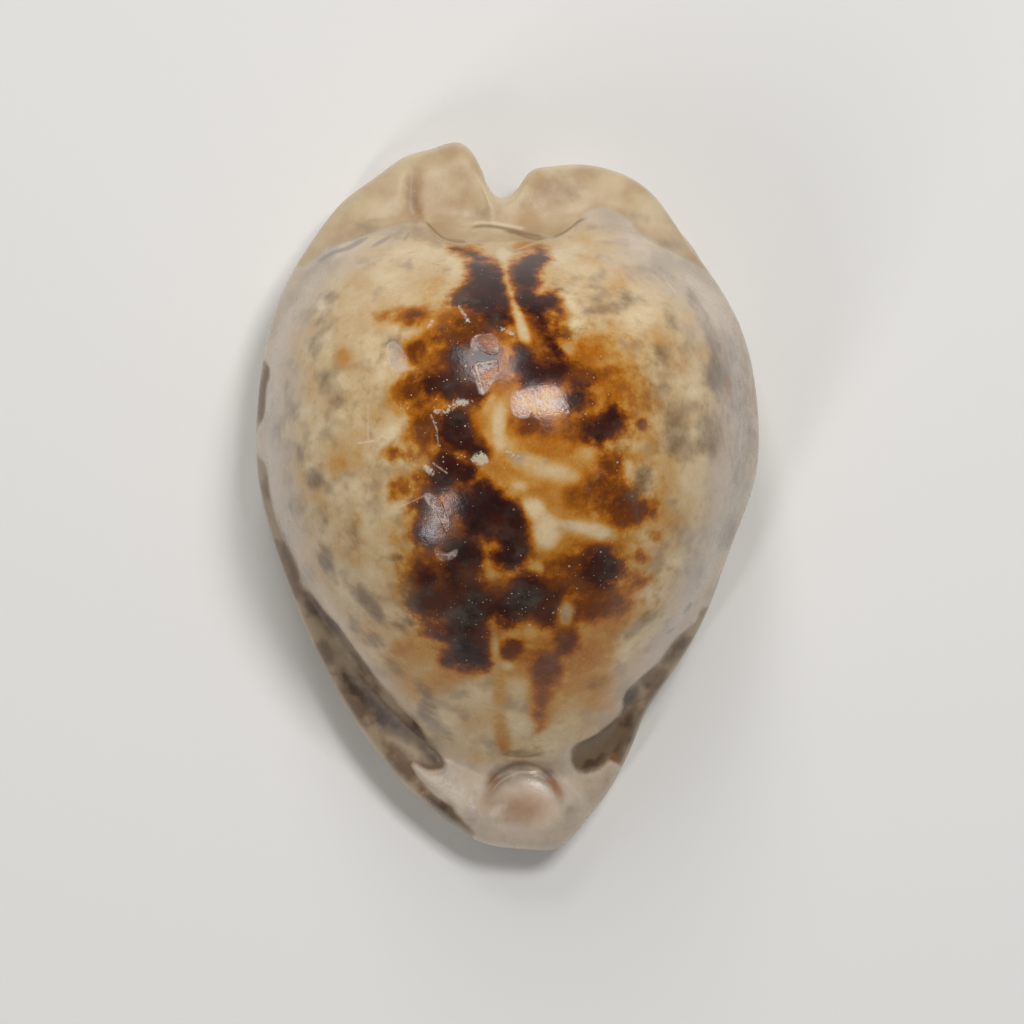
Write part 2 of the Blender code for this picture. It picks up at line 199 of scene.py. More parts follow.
def b_spline(controls, count):
    """Smooth curves near the control points, from the first to the last one."""
    first = 2 * controls[0] - controls[1]
    last = 2 * controls[-1] - controls[-2]
    controls = np.concatenate([first[None], controls, last[None]])
    at = np.linspace(0.0, len(controls) - 3, count)
    cell = np.minimum(at.astype(int), len(controls) - 4)
    t = (at - cell)[:, None, None]
    return (
        controls[cell] * (1 - t) ** 3
        + controls[cell + 1] * (3 * t ** 3 - 6 * t ** 2 + 4)
        + controls[cell + 2] * (-3 * t ** 3 + 3 * t ** 2 + 3 * t + 1)
        + controls[cell + 3] * t ** 3
    ) / 6.0


def smooth_step(low, high, value):
    """0 below low, 1 above high, and smooth between them."""
    t = np.clip((value - low) / (high - low), 0.0, 1.0)
    return t * t * (3.0 - 2.0 * t)


def respace(path, count):
    """Give each section count points after its first one, evenly spaced along its length."""
    step = np.linalg.norm(np.diff(path, axis=0), axis=2)
    along = np.concatenate([np.zeros((1, path.shape[1])), np.cumsum(step, axis=0)])
    result = np.empty((count, path.shape[1], 3))
    for i in range(path.shape[1]):
        wanted = np.linspace(0.0, along[-1, i], count + 1)[1:]
        for axis in range(3):
            result[:, i, axis] = np.interp(wanted, along[:, i], path[:, i, axis])
    return result


def read_table(rows, at, period=None):
    """Read a table whose rows start with their place along the curve."""
    rows = np.array(rows, float)
    return spline(rows[:, 0], rows[:, 1:], at, period)


def dome_height(x, y):
    """Height of the dome without its callus."""
    top = read_table(RIDGE, y)[..., 0]
    left, right = np.moveaxis(read_table(FOOTPRINT, y), -1, 0)
    across = np.abs(x - (right + left) / 2.0) * 2.0 / (right - left)
    across = np.clip(1.0 - across ** DOME_FULLNESS, 0.0, None) ** (1.0 / DOME_FULLNESS)
    hollow_x, hollow_y, half_width, half_length, depth = SPIRE_HOLLOW
    hollow = depth * np.exp(-((x - hollow_x) / half_width) ** 2 - ((y - hollow_y) / half_length) ** 2)
    return DOME_BASE + (top - DOME_BASE) * across - hollow


def relief(x, y):
    """Height of the lumps and creases on the callus."""
    knob_x, knob_y, half_width, half_length, height = KNOB
    off_centre = ((x - knob_x) / half_width) ** 2 + ((y - knob_y) / half_length) ** 2
    knob = height * np.exp(-off_centre ** 2)
    crease_x, crease_y, radius, half_width, depth = CREASE
    off_line = (np.hypot(x - crease_x, y - crease_y) - radius) / half_width
    crease = depth * np.exp(-off_line ** 2) * smooth_step(0.0, 2.0, y - crease_y)
    groove_x, start, end, half_width, depth = LOBE_GROOVE
    ends = smooth_step(start - 0.8, start, y) * smooth_step(end + 0.8, end, y)
    groove = depth * np.exp(-((x - groove_x) / half_width) ** 2) * ends
    return knob - crease - groove


class Loft:
    """Sections of the shell, one for each point on a ring, going round by the outer lip."""

    def __init__(self, ring_points):
        at = np.arange(ring_points) * len(MARGIN) / ring_points
        turned = np.pi / 2.0 + at * 2.0 * np.pi / len(MARGIN)
        self.oval = np.stack([CROWN_OVAL[0] * np.cos(turned), CROWN_OVAL[1] * np.sin(turned)], axis=-1)
        self.margin = spline(range(len(MARGIN)), MARGIN, at, len(MARGIN))
        self.lip = read_table(LIP, at, len(MARGIN))
        self.callus = read_table(CALLUS, at, len(MARGIN))
        self.across = self.lip[:, :2] - self.margin[:, :2]
        self.width = np.linalg.norm(self.across, axis=1)
        # Where margin and lip meet, at both ends, the wall is only a rim.
        rim = 1.0 / (1.0 + (self.width / RIM_WIDTH) ** 2)
        self.crest = np.maximum(0.0, self.lip[:, 2] - LIP_RISE * (1.0 - rim))

    def upper(self, reach):
        """Points of the upper surface at one reach: 0 at the crown, 1 at the margin."""
        outwards = self.oval + smooth_step(*OVAL_REACH, reach) * (self.margin[:, :2] - CENTRE - self.oval)
        x, y = (CENTRE + reach * outwards).T
        edge = np.sqrt(np.clip(1.0 - reach ** self.callus[:, 1], 0.0, None))
        callus = self.margin[:, 2] + (self.callus[:, 0] - self.margin[:, 2]) * edge
        dome = dome_height(x, y)
        skin = (dome + callus + np.sqrt((dome - callus) ** 2 + (CALLUS_BLEND * edge) ** 2)) / 2.0
        return np.stack([x, y, skin + relief(x, y) * edge], axis=-1)

    def below(self, share, height):
        """Points at a share of the way from margin to lip."""
        plan = self.margin[:, :2] + self.across * np.broadcast_to(share, self.width.shape)[:, None]
        return np.concatenate([plan, height[:, None]], axis=1)

    def near_edge(self, distance):
        """The share that a distance is of the base, squeezed where the base is narrow."""
        return 0.5 * distance / (self.width / 2.0 + distance)

    def base_controls(self):
        """Control points from the margin, under the base, to the edge of the aperture."""
        crest = self.crest
        drop = self.margin[:, 2] - crest
        controls = [self.below(0.0, self.margin[:, 2])]
        for inwards, left in MARGIN_TURN:
            controls.append(self.below(self.near_edge(inwards), crest + left * drop))
        start = self.near_edge(BASE_SPAN[0])
        end = 1.0 - self.near_edge(BASE_SPAN[1])
        arch = BASE_ARCH * self.width / self.width.max()
        controls += [self.below(start + (end - start) * t, crest + lift * arch) for t, lift in BASE_CONTROLS]
        lift = self.lip[:, 2] - crest
        controls += [
            self.below(1.0 - self.near_edge(0.45), crest + 0.12 * lift),
            self.below(1.0, crest + 0.45 * lift),
            self.below(1.0 + 0.2 / (1.0 + self.width), self.lip[:, 2]),
        ]
        return controls

    def inside_controls(self, lip_edge):
        """Control points over the lip's floor or the columella, up the wall, to the point under the crown."""
        margin_y = self.margin[:, 1]
        ends, filled = (
            np.maximum(smooth_step(*hind, margin_y), smooth_step(*front, margin_y))
            for hind, front in (ENDS, FILLED)
        )
        narrow = 1.0 / (1.0 + (self.width / CANAL_WIDTH) ** 4)
        canal = (1.0 - (1.0 - narrow) * (1.0 - SOLID_ENDS * ends))[:, None]
        middle = read_table(APERTURE_MIDDLE, self.lip[:, 1])[:, 0]
        inner_side = smooth_step(-SIDE_BLEND, SIDE_BLEND, self.lip[:, 0] - middle)
        shares = (1.0 - inner_side, inner_side * (1.0 - filled), inner_side * filled)
        cavity_centre = np.array([*CENTRE, CAVITY_CENTRE_Z])

        def ceiling(reach):
            away = self.upper(reach) - cavity_centre
            wall = WALL + (END_WALL - WALL) * ends * smooth_step(0.1, 0.5, reach)
            return cavity_centre + away * (1.0 - wall / np.linalg.norm(away, axis=1))[:, None]

        target = ceiling(CEILING[0])
        room = np.maximum(dome_height(self.lip[:, 0], self.lip[:, 1]) - ROOF, LEAST_ROOM)
        knee = self.lip + (target - self.lip) * KNEE + (0.0, 0.0, KNEE_RISE)
        controls = []
        for k, places in enumerate(zip(LIP_FLOOR, COLUMELLA, COLUMELLA_AT_ENDS)):
            back = sum(share * place[0] for share, place in zip(shares, places))
            rise = sum(share * place[1] for share, place in zip(shares, places))
            body = self.below(1.0 - back * (1.0 - SOLID_ENDS * ends), self.lip[:, 2] + room * rise)
            t = (k + 1) / (len(LIP_FLOOR) + 1)
            throat = (1 - t) ** 2 * lip_edge + 2 * t * (1 - t) * knee + t ** 2 * target
            controls.append(body * (1 - canal) + throat * canal)
        return controls + [ceiling(reach) for reach in CEILING]

    def points(self, rings):
        """Points of the surface in millimetres: [ring, point on the ring, xyz]."""
        top = np.stack([self.upper(np.sin(turn)) for turn in np.linspace(0.0, np.pi / 2.0, FINE_STEPS)])
        base = self.base_controls()
        inside = self.inside_controls(base[-1])
        under = b_spline(np.stack(base + inside), 4 * FINE_STEPS)
        lip_turn = int(len(under) * (len(base) - 1) / (len(base) + len(inside) - 1))
        stretches = (top, under[:lip_turn], under[lip_turn - 1:])
        return np.concatenate([top[:1]] + [respace(part, count) for part, count in zip(stretches, rings)])


# How the picture sees the shell: pixel size at the margin's level, and where the camera stands, in
# millimetres.
PIXEL = 0.0733
PICTURE_MIDDLE = 512.0
CAMERA_X = 0.33
CAMERA_Y = -1.14
CAMERA_HEIGHT = 400.0
MARGIN_LEVEL = 5.5

# Closed outlines of the marks on the back. Each goes round by column and row in the picture.
DARK_BLOTCHES = (
    # Beside the pale line at the hind end, left and right, with the streak that runs on from the right one.
    (470, 264, 478, 262, 486, 262, 494, 265, 499, 270, 501, 280, 503, 290, 506, 300, 508, 310, 510, 317,
     504, 321, 496, 322, 490, 316, 484, 310, 476, 307, 467, 305, 459, 303, 453, 298, 456, 292, 463, 288,
     469, 282, 470, 274),
    (513, 266, 519, 260, 528, 257, 536, 253, 541, 250, 546, 256, 543, 262, 537, 267, 537, 276, 539, 282,
     536, 288, 535, 294, 541, 297, 547, 294, 552, 294, 557, 297, 559, 302, 555, 307, 549, 310, 543, 311,
     538, 312, 531, 311, 525, 306, 519, 302, 519, 295, 516, 288, 512, 280, 512, 272),
    (536, 310, 542, 315, 548, 324, 552, 333, 555, 342, 559, 352, 560, 362, 555, 360, 552, 350, 547, 340,
     543, 330, 539, 320),
    (453, 248, 462, 249, 472, 252, 482, 258, 488, 262, 481, 262, 473, 257, 463, 252),
    # Around the crown.
    (452, 352, 460, 348, 471, 350, 473, 360, 473, 372, 478, 385, 482, 396, 472, 400, 462, 399, 455, 396,
     448, 398, 440, 393, 430, 389, 426, 381, 436, 375, 445, 371, 450, 362),
    (473, 350, 484, 350, 497, 353, 496, 360, 490, 363, 475, 362),
    (519, 350, 527, 350, 532, 356, 534, 364, 541, 369, 548, 364, 556, 362, 562, 366, 561, 374, 553, 380,
     544, 381, 538, 385, 530, 386, 524, 380, 519, 372, 517, 362),
    (565, 392, 572, 388, 580, 388, 586, 392, 586, 400, 582, 408, 574, 411, 568, 406, 565, 398),
    (443, 420, 450, 414, 459, 412, 463, 420, 464, 430, 468, 439, 478, 445, 486, 451, 479, 456, 468, 452,
     458, 451, 448, 448, 443, 442, 441, 432),
    (438, 456, 446, 453, 456, 458, 462, 464, 470, 466, 476, 472, 470, 479, 460, 478, 452, 474, 444, 470,
     438, 464),
    (432, 476, 442, 474, 452, 478, 452, 486, 444, 492, 434, 488),
    # The largest one, in the middle of the back.
    (458, 494, 467, 488, 478, 484, 488, 486, 497, 492, 505, 499, 513, 506, 519, 513, 523, 522, 525, 532,
     527, 542, 528, 552, 526, 560, 520, 567, 511, 569, 503, 567, 497, 560, 496, 552, 499, 546, 492, 541,
     486, 537, 483, 531, 476, 533, 470, 535, 466, 528, 463, 518, 460, 508),
    # Towards the front.
    (452, 545, 462, 540, 474, 544, 479, 552, 477, 562, 476, 572, 480, 582, 484, 592, 490, 598, 500, 598,
     508, 592, 512, 600, 514, 612, 510, 620, 500, 620, 492, 616, 485, 621, 484, 630, 485, 640, 486, 650,
     489, 660, 484, 667, 474, 667, 462, 665, 452, 664, 443, 661, 444, 655, 451, 650, 450, 642, 441, 636,
     447, 628, 449, 618, 440, 612, 428, 612, 418, 611, 414, 604, 418, 597, 430, 592, 444, 592, 450, 585,
     447, 572, 448, 558),
    (417, 572, 424, 568, 431, 572, 431, 580, 425, 585, 418, 580),
    (418, 528, 426, 526, 432, 532, 431, 540, 423, 541, 418, 536),
    (417, 504, 424, 500, 430, 505, 428, 512, 420, 512),
    (519, 582, 526, 576, 536, 578, 543, 586, 550, 592, 557, 592, 558, 600, 552, 606, 556, 612, 552, 620,
     542, 620, 538, 612, 530, 607, 522, 610, 514, 604, 512, 594, 516, 588),
    (590, 554, 598, 552, 606, 554, 612, 560, 616, 568, 615, 577, 608, 582, 600, 582, 592, 578, 586, 572,
     587, 562),
    (588, 430, 596, 426, 605, 424, 607, 414, 613, 409, 620, 413, 620, 424, 614, 432, 604, 438, 594, 440),
)

# Soft marks: column, row, half width, half length, and strength in percent. The last number, where there is
# one, is how many degrees the length leans towards the left going down.
BROWN_CLOUDS = (
    # Broad dusky parts of the back, then the small ones.
    (432, 440, 34, 80, 35), (435, 560, 38, 60, 45), (605, 410, 42, 60, 30), (590, 585, 62, 32, 40),
    (480, 335, 60, 45, 40), (540, 350, 40, 40, 30), (500, 600, 60, 40, 35), (610, 510, 34, 30, 30),
    (545, 425, 30, 14, 25), (415, 352, 13, 12, 80), (396, 314, 20, 8, 50, -10), (414, 318, 12, 9, 60, -20),
    (440, 335, 15, 6, 50), (418, 384, 22, 13, 70, -20), (472, 332, 20, 14, 75), (492, 328, 9, 12, 50),
    (500, 378, 10, 22, 35), (428, 426, 16, 20, 75), (477, 445, 12, 11, 70), (446, 480, 28, 12, 80),
    (440, 520, 23, 30, 75), (465, 556, 16, 18, 80), (438, 588, 24, 22, 85), (432, 628, 12, 11, 65),
    (577, 374, 24, 11, 75, 10), (530, 424, 21, 12, 80), (575, 430, 20, 12, 55), (602, 430, 20, 16, 80),
    (612, 464, 12, 14, 80), (600, 488, 22, 14, 75), (570, 496, 8, 13, 45), (625, 508, 21, 20, 85),
    (652, 508, 12, 11, 50), (656, 536, 9, 7, 50), (641, 556, 9, 7, 55, 30), (644, 580, 10, 8, 50),
    (600, 600, 24, 14, 80), (586, 614, 16, 11, 70), (536, 598, 26, 22, 70), (512, 650, 12, 11, 95),
    (566, 641, 13, 13, 85), (546, 670, 17, 20, 90), (540, 702, 8, 24, 40, 4), (537, 730, 7, 20, 25, 8),
    (500, 604, 26, 14, 85), (642, 424, 5, 6, 80), (392, 454, 13, 7, 60), (398, 490, 10, 12, 55),
    (606, 372, 13, 6, 55, -15), (613, 398, 9, 5, 40), (565, 332, 9, 7, 45), (575, 405, 16, 14, 60),
    (462, 365, 26, 34, 60), (480, 310, 18, 16, 60), (582, 572, 34, 22, 80), (540, 372, 26, 16, 70),
    (462, 432, 14, 26, 70), (420, 400, 16, 10, 40),
)
AMBER_CLOUDS = (
    # Broad warm parts of the back, then the small ones.
    (425, 670, 60, 34, 50, -20), (580, 700, 60, 38, 50, 20), (350, 440, 45, 110, 12),
    (515, 360, 105, 60, 45), (540, 480, 100, 70, 50), (470, 480, 60, 90, 40), (520, 610, 105, 75, 50),
    (450, 590, 60, 60, 35), (536, 325, 9, 14, 90, -25), (541, 345, 11, 11, 75), (545, 444, 34, 16, 100),
    (474, 424, 11, 14, 90), (505, 470, 18, 9, 85), (560, 497, 30, 17, 90, 10), (588, 470, 16, 20, 50),
    (590, 354, 16, 13, 70, 20), (612, 352, 34, 26, 45), (614, 392, 34, 22, 60), (642, 430, 18, 40, 45),
    (453, 321, 17, 8, 75, -15), (440, 362, 12, 10, 70), (488, 551, 9, 16, 90, -10), (486, 535, 12, 5, 80),
    (590, 543, 30, 7, 85), (622, 545, 20, 12, 50), (617, 602, 13, 26, 70, 10), (552, 652, 38, 24, 75),
    (520, 671, 13, 7, 80), (503, 738, 8, 20, 75, -15), (500, 700, 8, 24, 40), (540, 705, 12, 26, 70),
    (602, 640, 18, 30, 60, 20), (590, 682, 22, 7, 50, -10), (400, 396, 16, 20, 60), (410, 440, 14, 9, 45),
    (343, 357, 9, 9, 55), (335, 466, 13, 11, 35), (355, 532, 10, 20, 40), (524, 246, 16, 6, 75, -15),
    (402, 648, 14, 8, 50, -20), (642, 610, 14, 9, 40, -20), (504, 290, 7, 30, 80, -8),
    (508, 385, 14, 18, 50), (470, 310, 20, 8, 40), (555, 560, 12, 20, 60), (490, 640, 9, 14, 40),
    (465, 672, 26, 6, 50), (665, 488, 14, 10, 35, 20), (672, 572, 10, 12, 30), (678, 530, 8, 16, 30, 10),
    (425, 300, 12, 22, 30, 35), (510, 420, 6, 20, 60), (560, 315, 10, 12, 60), (590, 620, 30, 14, 50),
    (420, 560, 20, 12, 30), (335, 580, 9, 7, 35),
)
CREAM_CLOUDS = (
    (547, 532, 13, 16, 100), (534, 508, 11, 9, 100, 35), (598, 532, 18, 8, 85, 12),
    (574, 526, 13, 5, 90, 5), (499, 424, 8, 24, 65, 5), (508, 444, 11, 8, 55), (526, 462, 22, 10, 60, 12),
    (560, 474, 22, 10, 55, 12), (520, 486, 8, 5, 60), (564, 612, 9, 12, 80), (528, 566, 7, 8, 50),
    (539, 570, 5, 9, 60), (494, 650, 5, 18, 60), (506, 666, 8, 5, 60), (518, 700, 12, 24, 50),
    (586, 454, 9, 9, 45), (491, 574, 7, 7, 45), (344, 380, 13, 9, 45), (640, 322, 16, 9, 45),
    (505, 254, 9, 7, 90), (504, 268, 4.2, 14, 100, -10), (509, 290, 4.2, 14, 100, -14),
    (516, 312, 5.5, 13, 95, -22), (524, 334, 6, 13, 80, -18), (395, 285, 26, 22, 35),
    (430, 252, 40, 9, 35, 5), (425, 668, 20, 12, 35, -30), (640, 352, 16, 10, 25), (460, 702, 20, 9, 30),
    (575, 715, 18, 16, 30), (380, 560, 16, 30, 25), (530, 632, 10, 9, 40),
)
# Grey, cloudy parts of the glaze over the pigment.
DUSKY_CLOUDS = (
    (430, 520, 18, 42, 60), (438, 606, 34, 22, 75), (500, 590, 30, 16, 60), (560, 612, 22, 12, 50),
    (470, 575, 16, 14, 70), (488, 632, 12, 16, 70), (545, 600, 20, 14, 60), (444, 645, 16, 16, 50),
    (616, 442, 14, 18, 70), (460, 378, 24, 26, 60), (466, 292, 18, 18, 40), (604, 562, 20, 20, 45),
    (455, 425, 16, 24, 30), (428, 460, 14, 20, 50), (410, 560, 14, 40, 40), (530, 560, 16, 16, 40),
    (390, 350, 12, 14, 60), (648, 390, 20, 60, 30), (640, 500, 18, 30, 35), (400, 470, 30, 40, 25),
    (590, 300, 30, 14, 40), (600, 330, 14, 10, 30), (470, 640, 22, 24, 30),
)
# Where the glaze is full of fine pale specks.
SPECKLED_CLOUDS = (
    (530, 596, 56, 34, 90), (500, 560, 24, 24, 60), (440, 430, 36, 60, 80), (605, 560, 40, 30, 70),
    (480, 462, 60, 14, 70), (430, 520, 30, 50, 60), (450, 390, 50, 16, 90, -15), (560, 400, 60, 40, 50),
    (470, 320, 50, 40, 50), (620, 470, 36, 50, 50), (450, 620, 50, 40, 50), (600, 330, 60, 50, 30),
)
SMOKE_AND_SHADE_SPOTS = (
    # Left of the back, from the hind end to the front.
    (330, 296, 11, 6, 45), (325, 322, 12, 11, 45, 20), (316, 345, 9, 14, 55, 30), (323, 378, 9, 9, 65),
    (338, 400, 8, 11, 60), (288, 388, 6, 12, 40), (290, 412, 8, 9, 40, -20), (277, 428, 6, 12, 50),
    (326, 434, 9, 9, 50), (300, 456, 5, 14, 55, -15), (315, 479, 9, 11, 85), (296, 507, 8, 14, 50, -10),
    (320, 520, 8, 18, 35), (353, 534, 8, 15, 50, -15), (327, 562, 8, 17, 80, -18),
    (310, 574, 6, 14, 45, -20), (345, 505, 14, 12, 25), (362, 596, 9, 15, 80, -40),
    (376, 613, 7, 13, 75, -30), (354, 624, 7, 10, 60, -20), (373, 640, 12, 7, 65, 20),
    (402, 624, 13, 8, 55), (396, 558, 11, 5, 55), (408, 592, 8, 18, 70), (396, 668, 7, 12, 50, -40),
    (423, 690, 6, 13, 70, -40), (425, 712, 8, 11, 75, -20), (444, 731, 7, 14, 60, -45),
    (372, 420, 12, 14, 20), (365, 385, 10, 12, 20), (395, 350, 8, 12, 40), (375, 470, 14, 10, 35),
    (455, 296, 12, 8, 50),
    # Right of the back. The first three darken its right side broadly.
    (742, 390, 22, 110, 40), (694, 360, 40, 60, 15), (700, 560, 30, 60, 20, 25), (628, 300, 13, 10, 55),
    (608, 309, 16, 6, 60), (588, 312, 8, 5, 40), (637, 345, 8, 6, 45), (663, 355, 9, 10, 60),
    (671, 320, 7, 14, 50, -20), (702, 318, 7, 28, 45, -25), (713, 344, 7, 12, 50, -10),
    (716, 376, 11, 18, 85, -5), (688, 348, 11, 8, 40), (675, 426, 14, 26, 60), (709, 424, 13, 14, 55),
    (712, 442, 9, 12, 55), (690, 446, 28, 9, 50), (693, 295, 7, 8, 45), (655, 272, 20, 9, 30, 20),
    (626, 248, 9, 10, 30), (644, 478, 9, 14, 75, 10), (636, 492, 9, 8, 60), (675, 525, 8, 14, 35, 15),
    (738, 470, 7, 20, 35, 5), (727, 532, 6, 18, 50, 18), (738, 400, 8, 20, 25), (650, 616, 14, 8, 40, -25),
    (625, 634, 12, 7, 40, -30), (600, 684, 14, 6, 40, -10), (572, 333, 12, 8, 40), (640, 390, 24, 12, 25),
    (560, 288, 12, 7, 35), (590, 283, 8, 9, 30),
    # On the hind shelf, and on the front end around the knob: mostly painted shade in the shelf's hollows and
    # the groove down its left lobe, and along the crease behind the knob and the step above it.
    (412, 195, 6, 26, 50, -5), (480, 215, 24, 10, 35), (560, 188, 26, 16, 35), (365, 226, 22, 8, 45, -10),
    (638, 216, 14, 7, 35, 10), (668, 242, 12, 6, 50, 10), (520, 753, 22, 4, 55), (498, 777, 10, 8, 75),
    (515, 767, 18, 6, 60), (535, 777, 18, 6, 55, 20), (549, 772, 9, 4, 70, 25), (470, 812, 9, 14, 35),
    (562, 800, 7, 13, 40, -40), (590, 786, 8, 14, 30, 20),
)
RUST_SPOTS = (
    (557, 790, 5, 9, 65, -30), (552, 781, 7, 4, 40, 20), (493, 781, 8, 9, 45), (616, 758, 4, 6, 60),
    (524, 808, 28, 19, 50), (486, 800, 7, 16, 30, 20), (600, 790, 12, 20, 20, 30), (570, 190, 40, 20, 20),
    (412, 195, 5, 26, 30, -5), (365, 215, 30, 14, 15, -30), (503, 208, 12, 12, 20), (421, 212, 5, 9, 40),
    (728, 385, 4, 12, 50, -5), (645, 424, 3, 4, 50),
)

# Closed outlines of the blotches on the flanks below the callus's ridge.
FLANK_BLOTCHES = (
    (303, 594, 312, 598, 322, 611, 334, 622, 342, 633, 346, 642, 338, 641, 325, 631, 313, 618, 304, 605),
    (336, 636, 345, 641, 354, 652, 363, 664, 369, 674, 360, 670, 349, 658, 340, 647),
    (341, 668, 350, 680, 362, 692, 376, 700, 388, 715, 400, 727, 413, 735, 411, 743, 397, 738, 384, 733,
     371, 719, 358, 703, 347, 691, 340, 680),
    (411, 718, 419, 728, 429, 744, 437, 752, 443, 764, 432, 763, 420, 752, 412, 741),
    (426, 799, 440, 803, 452, 808, 460, 818, 472, 834, 462, 836, 446, 826, 430, 812),
    (320, 640, 330, 652, 333, 664, 326, 664, 318, 652),
    (574, 752, 581, 744, 592, 740, 603, 735, 613, 728, 622, 722, 625, 735, 622, 748, 616, 756, 607, 758,
     602, 764, 596, 770, 585, 772, 577, 770, 573, 762),
    (626, 692, 634, 686, 641, 688, 640, 697, 634, 706, 627, 706, 624, 699),
    (641, 682, 650, 674, 660, 668, 669, 672, 661, 684, 649, 690),
    (664, 662, 673, 649, 684, 638, 692, 640, 685, 652, 674, 664),
    (625, 722, 639, 712, 648, 714, 643, 735, 632, 744, 625, 735),
)
# Grey slips in the enamel.
SLIPS = (
    (318, 262, 330, 252, 345, 247, 358, 240, 369, 237, 360, 244, 349, 250, 338, 253, 328, 258),
    (371, 247, 380, 240, 391, 236, 386, 241, 377, 246),
    (403, 240, 409, 233, 407, 239),
    (684, 612, 690, 602, 691, 606, 687, 612),
    (666, 633, 674, 627, 671, 632),
    (281, 528, 286, 540, 284, 540),
)

# Where the enamel lies on the back: its inner edge, and the ridge that bounds it against the flanks.
ENAMEL_INNER_EDGE = (
    425, 236, 385, 258, 348, 280, 324, 300, 310, 330, 302, 370, 299, 420, 303, 480, 310, 530, 320, 570,
    338, 605, 362, 640, 396, 675, 426, 708, 452, 742, 500, 753, 542, 748, 575, 732, 597, 712, 604, 690,
    622, 664, 640, 636, 656, 606, 674, 575, 684, 540, 696, 505, 704, 470, 708, 430, 706, 385, 694, 345,
    672, 314, 644, 290, 612, 268, 604, 250, 590, 238, 555, 245, 520, 243, 470, 246,
)
LEFT_FLANK = (
    267, 362, 267, 385, 265, 405, 262, 422, 257, 432, 256, 445, 259, 456, 265, 464, 268, 482, 271, 502,
    277, 522, 284, 540, 292, 556, 298, 572, 303, 586, 312, 597, 324, 613, 336, 625, 345, 638, 354, 650,
    364, 664, 374, 678, 386, 692, 398, 706, 410, 718, 420, 730, 430, 744, 438, 752, 445, 766, 434, 772,
    422, 770, 412, 766, 430, 790, 450, 806, 462, 820, 476, 838, 460, 850, 400, 830, 330, 740, 270, 640,
    235, 540, 230, 440, 240, 365,
)
RIGHT_FLANK = (
    706, 606, 697, 620, 686, 630, 676, 640, 668, 651, 661, 662, 650, 671, 640, 680, 629, 690, 624, 700,
    623, 711, 614, 722, 600, 733, 586, 741, 575, 747, 571, 757, 576, 771, 590, 774, 603, 768, 612, 762,
    622, 768, 660, 760, 700, 680, 730, 620,
)
HIND_SHELF = (
    300, 268, 318, 256, 330, 247, 346, 241, 360, 236, 376, 230, 390, 226, 405, 222, 418, 220, 427, 225,
    436, 234, 448, 241, 462, 244, 480, 242, 500, 240, 520, 240, 536, 240, 550, 239, 562, 235, 572, 228,
    580, 220, 588, 212, 600, 208, 615, 211, 630, 222, 645, 236, 662, 247, 680, 256, 700, 268, 712, 262,
    690, 180, 600, 130, 440, 100, 300, 180, 280, 250,
)
# Chips in the glaze, which also carry painted highlights and reflections of the lamps in pale colour, and
# pale crusts along their edges.
CHIPS_AND_GLINTS = (
    (476, 363, 484, 362, 491, 364, 497, 360, 498, 372, 491, 385, 486, 392, 481, 394, 478, 387, 474, 376,
     472, 369),
    (472, 349, 473, 338, 482, 335, 492, 334, 498, 341, 498, 353, 488, 354, 480, 350),
    (512, 394, 520, 391, 528, 390, 531, 400, 531, 414, 522, 418, 513, 412),
    (526, 390, 536, 387, 545, 384, 553, 386, 562, 392, 567, 404, 569, 414, 556, 412, 545, 416, 534, 417,
     530, 404),
    (424, 495, 433, 495, 441, 501, 446, 514, 450, 528, 446, 533, 440, 520, 432, 508),
    (436, 548, 446, 554, 456, 550, 456, 556, 446, 560, 438, 558),
    (388, 345, 396, 342, 404, 352, 408, 362, 402, 372, 392, 368, 388, 356),
)
CRUSTS = (
    (429, 403, 436, 408, 445, 408, 451, 402, 457, 398, 466, 399, 475, 399, 468, 404, 459, 408, 450, 412,
     441, 414, 434, 411),
    (473, 457, 480, 454, 487, 456, 488, 463, 482, 467, 474, 463),
    (420, 463, 427, 464, 433, 470, 436, 474, 430, 476, 423, 471),
    (505, 451, 512, 452, 517, 455, 508, 455),
    (459, 307, 463, 308, 470, 320, 466, 319),
    (428, 327, 431, 321, 434, 321, 431, 327),
    (501, 330, 510, 329, 515, 336, 508, 334),
)

# The fields of the surface that tell how far inside some outlines it lies.
OUTLINED = {
    "dark_blotch": DARK_BLOTCHES, "flank_blotch": FLANK_BLOTCHES, "slip": SLIPS, "chip_and_glint": CHIPS_AND_GLINTS,
    "crust": CRUSTS, "inner_edge": (ENAMEL_INNER_EDGE,), "flank": (LEFT_FLANK, RIGHT_FLANK),
    "shelf": (HIND_SHELF,),
}
# The fields that tell how much soft marks cover it.
SOFT = {
    "brown_cloud": BROWN_CLOUDS, "amber_cloud": AMBER_CLOUDS, "cream_cloud": CREAM_CLOUDS,
    "dusky_cloud": DUSKY_CLOUDS, "speckled_cloud": SPECKLED_CLOUDS, "smoke_and_shade_spot": SMOKE_AND_SHADE_SPOTS,
    "rust_spot": RUST_SPOTS,
}
# The part of the way between two of an outline's points at which its curve is read.
OUTLINE_STEP = 0.25
# How far from an outline its distance is still told, in pixels.
TOLD_REACH = 30.0
# A soft mark has half its strength at its half width, and falls off by this power.
HALF_FALL = 0.69
FALL_POWER = 1.5
# Where the pale band along the margin starts and is full, as parts of the way out from the crown.
RIM_BAND = (0.955, 0.99)
# The part of the way from the lip to the crown in which the inside's colour takes over.
INSIDE_FADE = 0.3
# From where to where, in millimetres inside its outline, a part steps down.
STEP_EDGE = (-0.25, 0.35)
# Lengths below this are taken as nothing.
TINY = 1e-9
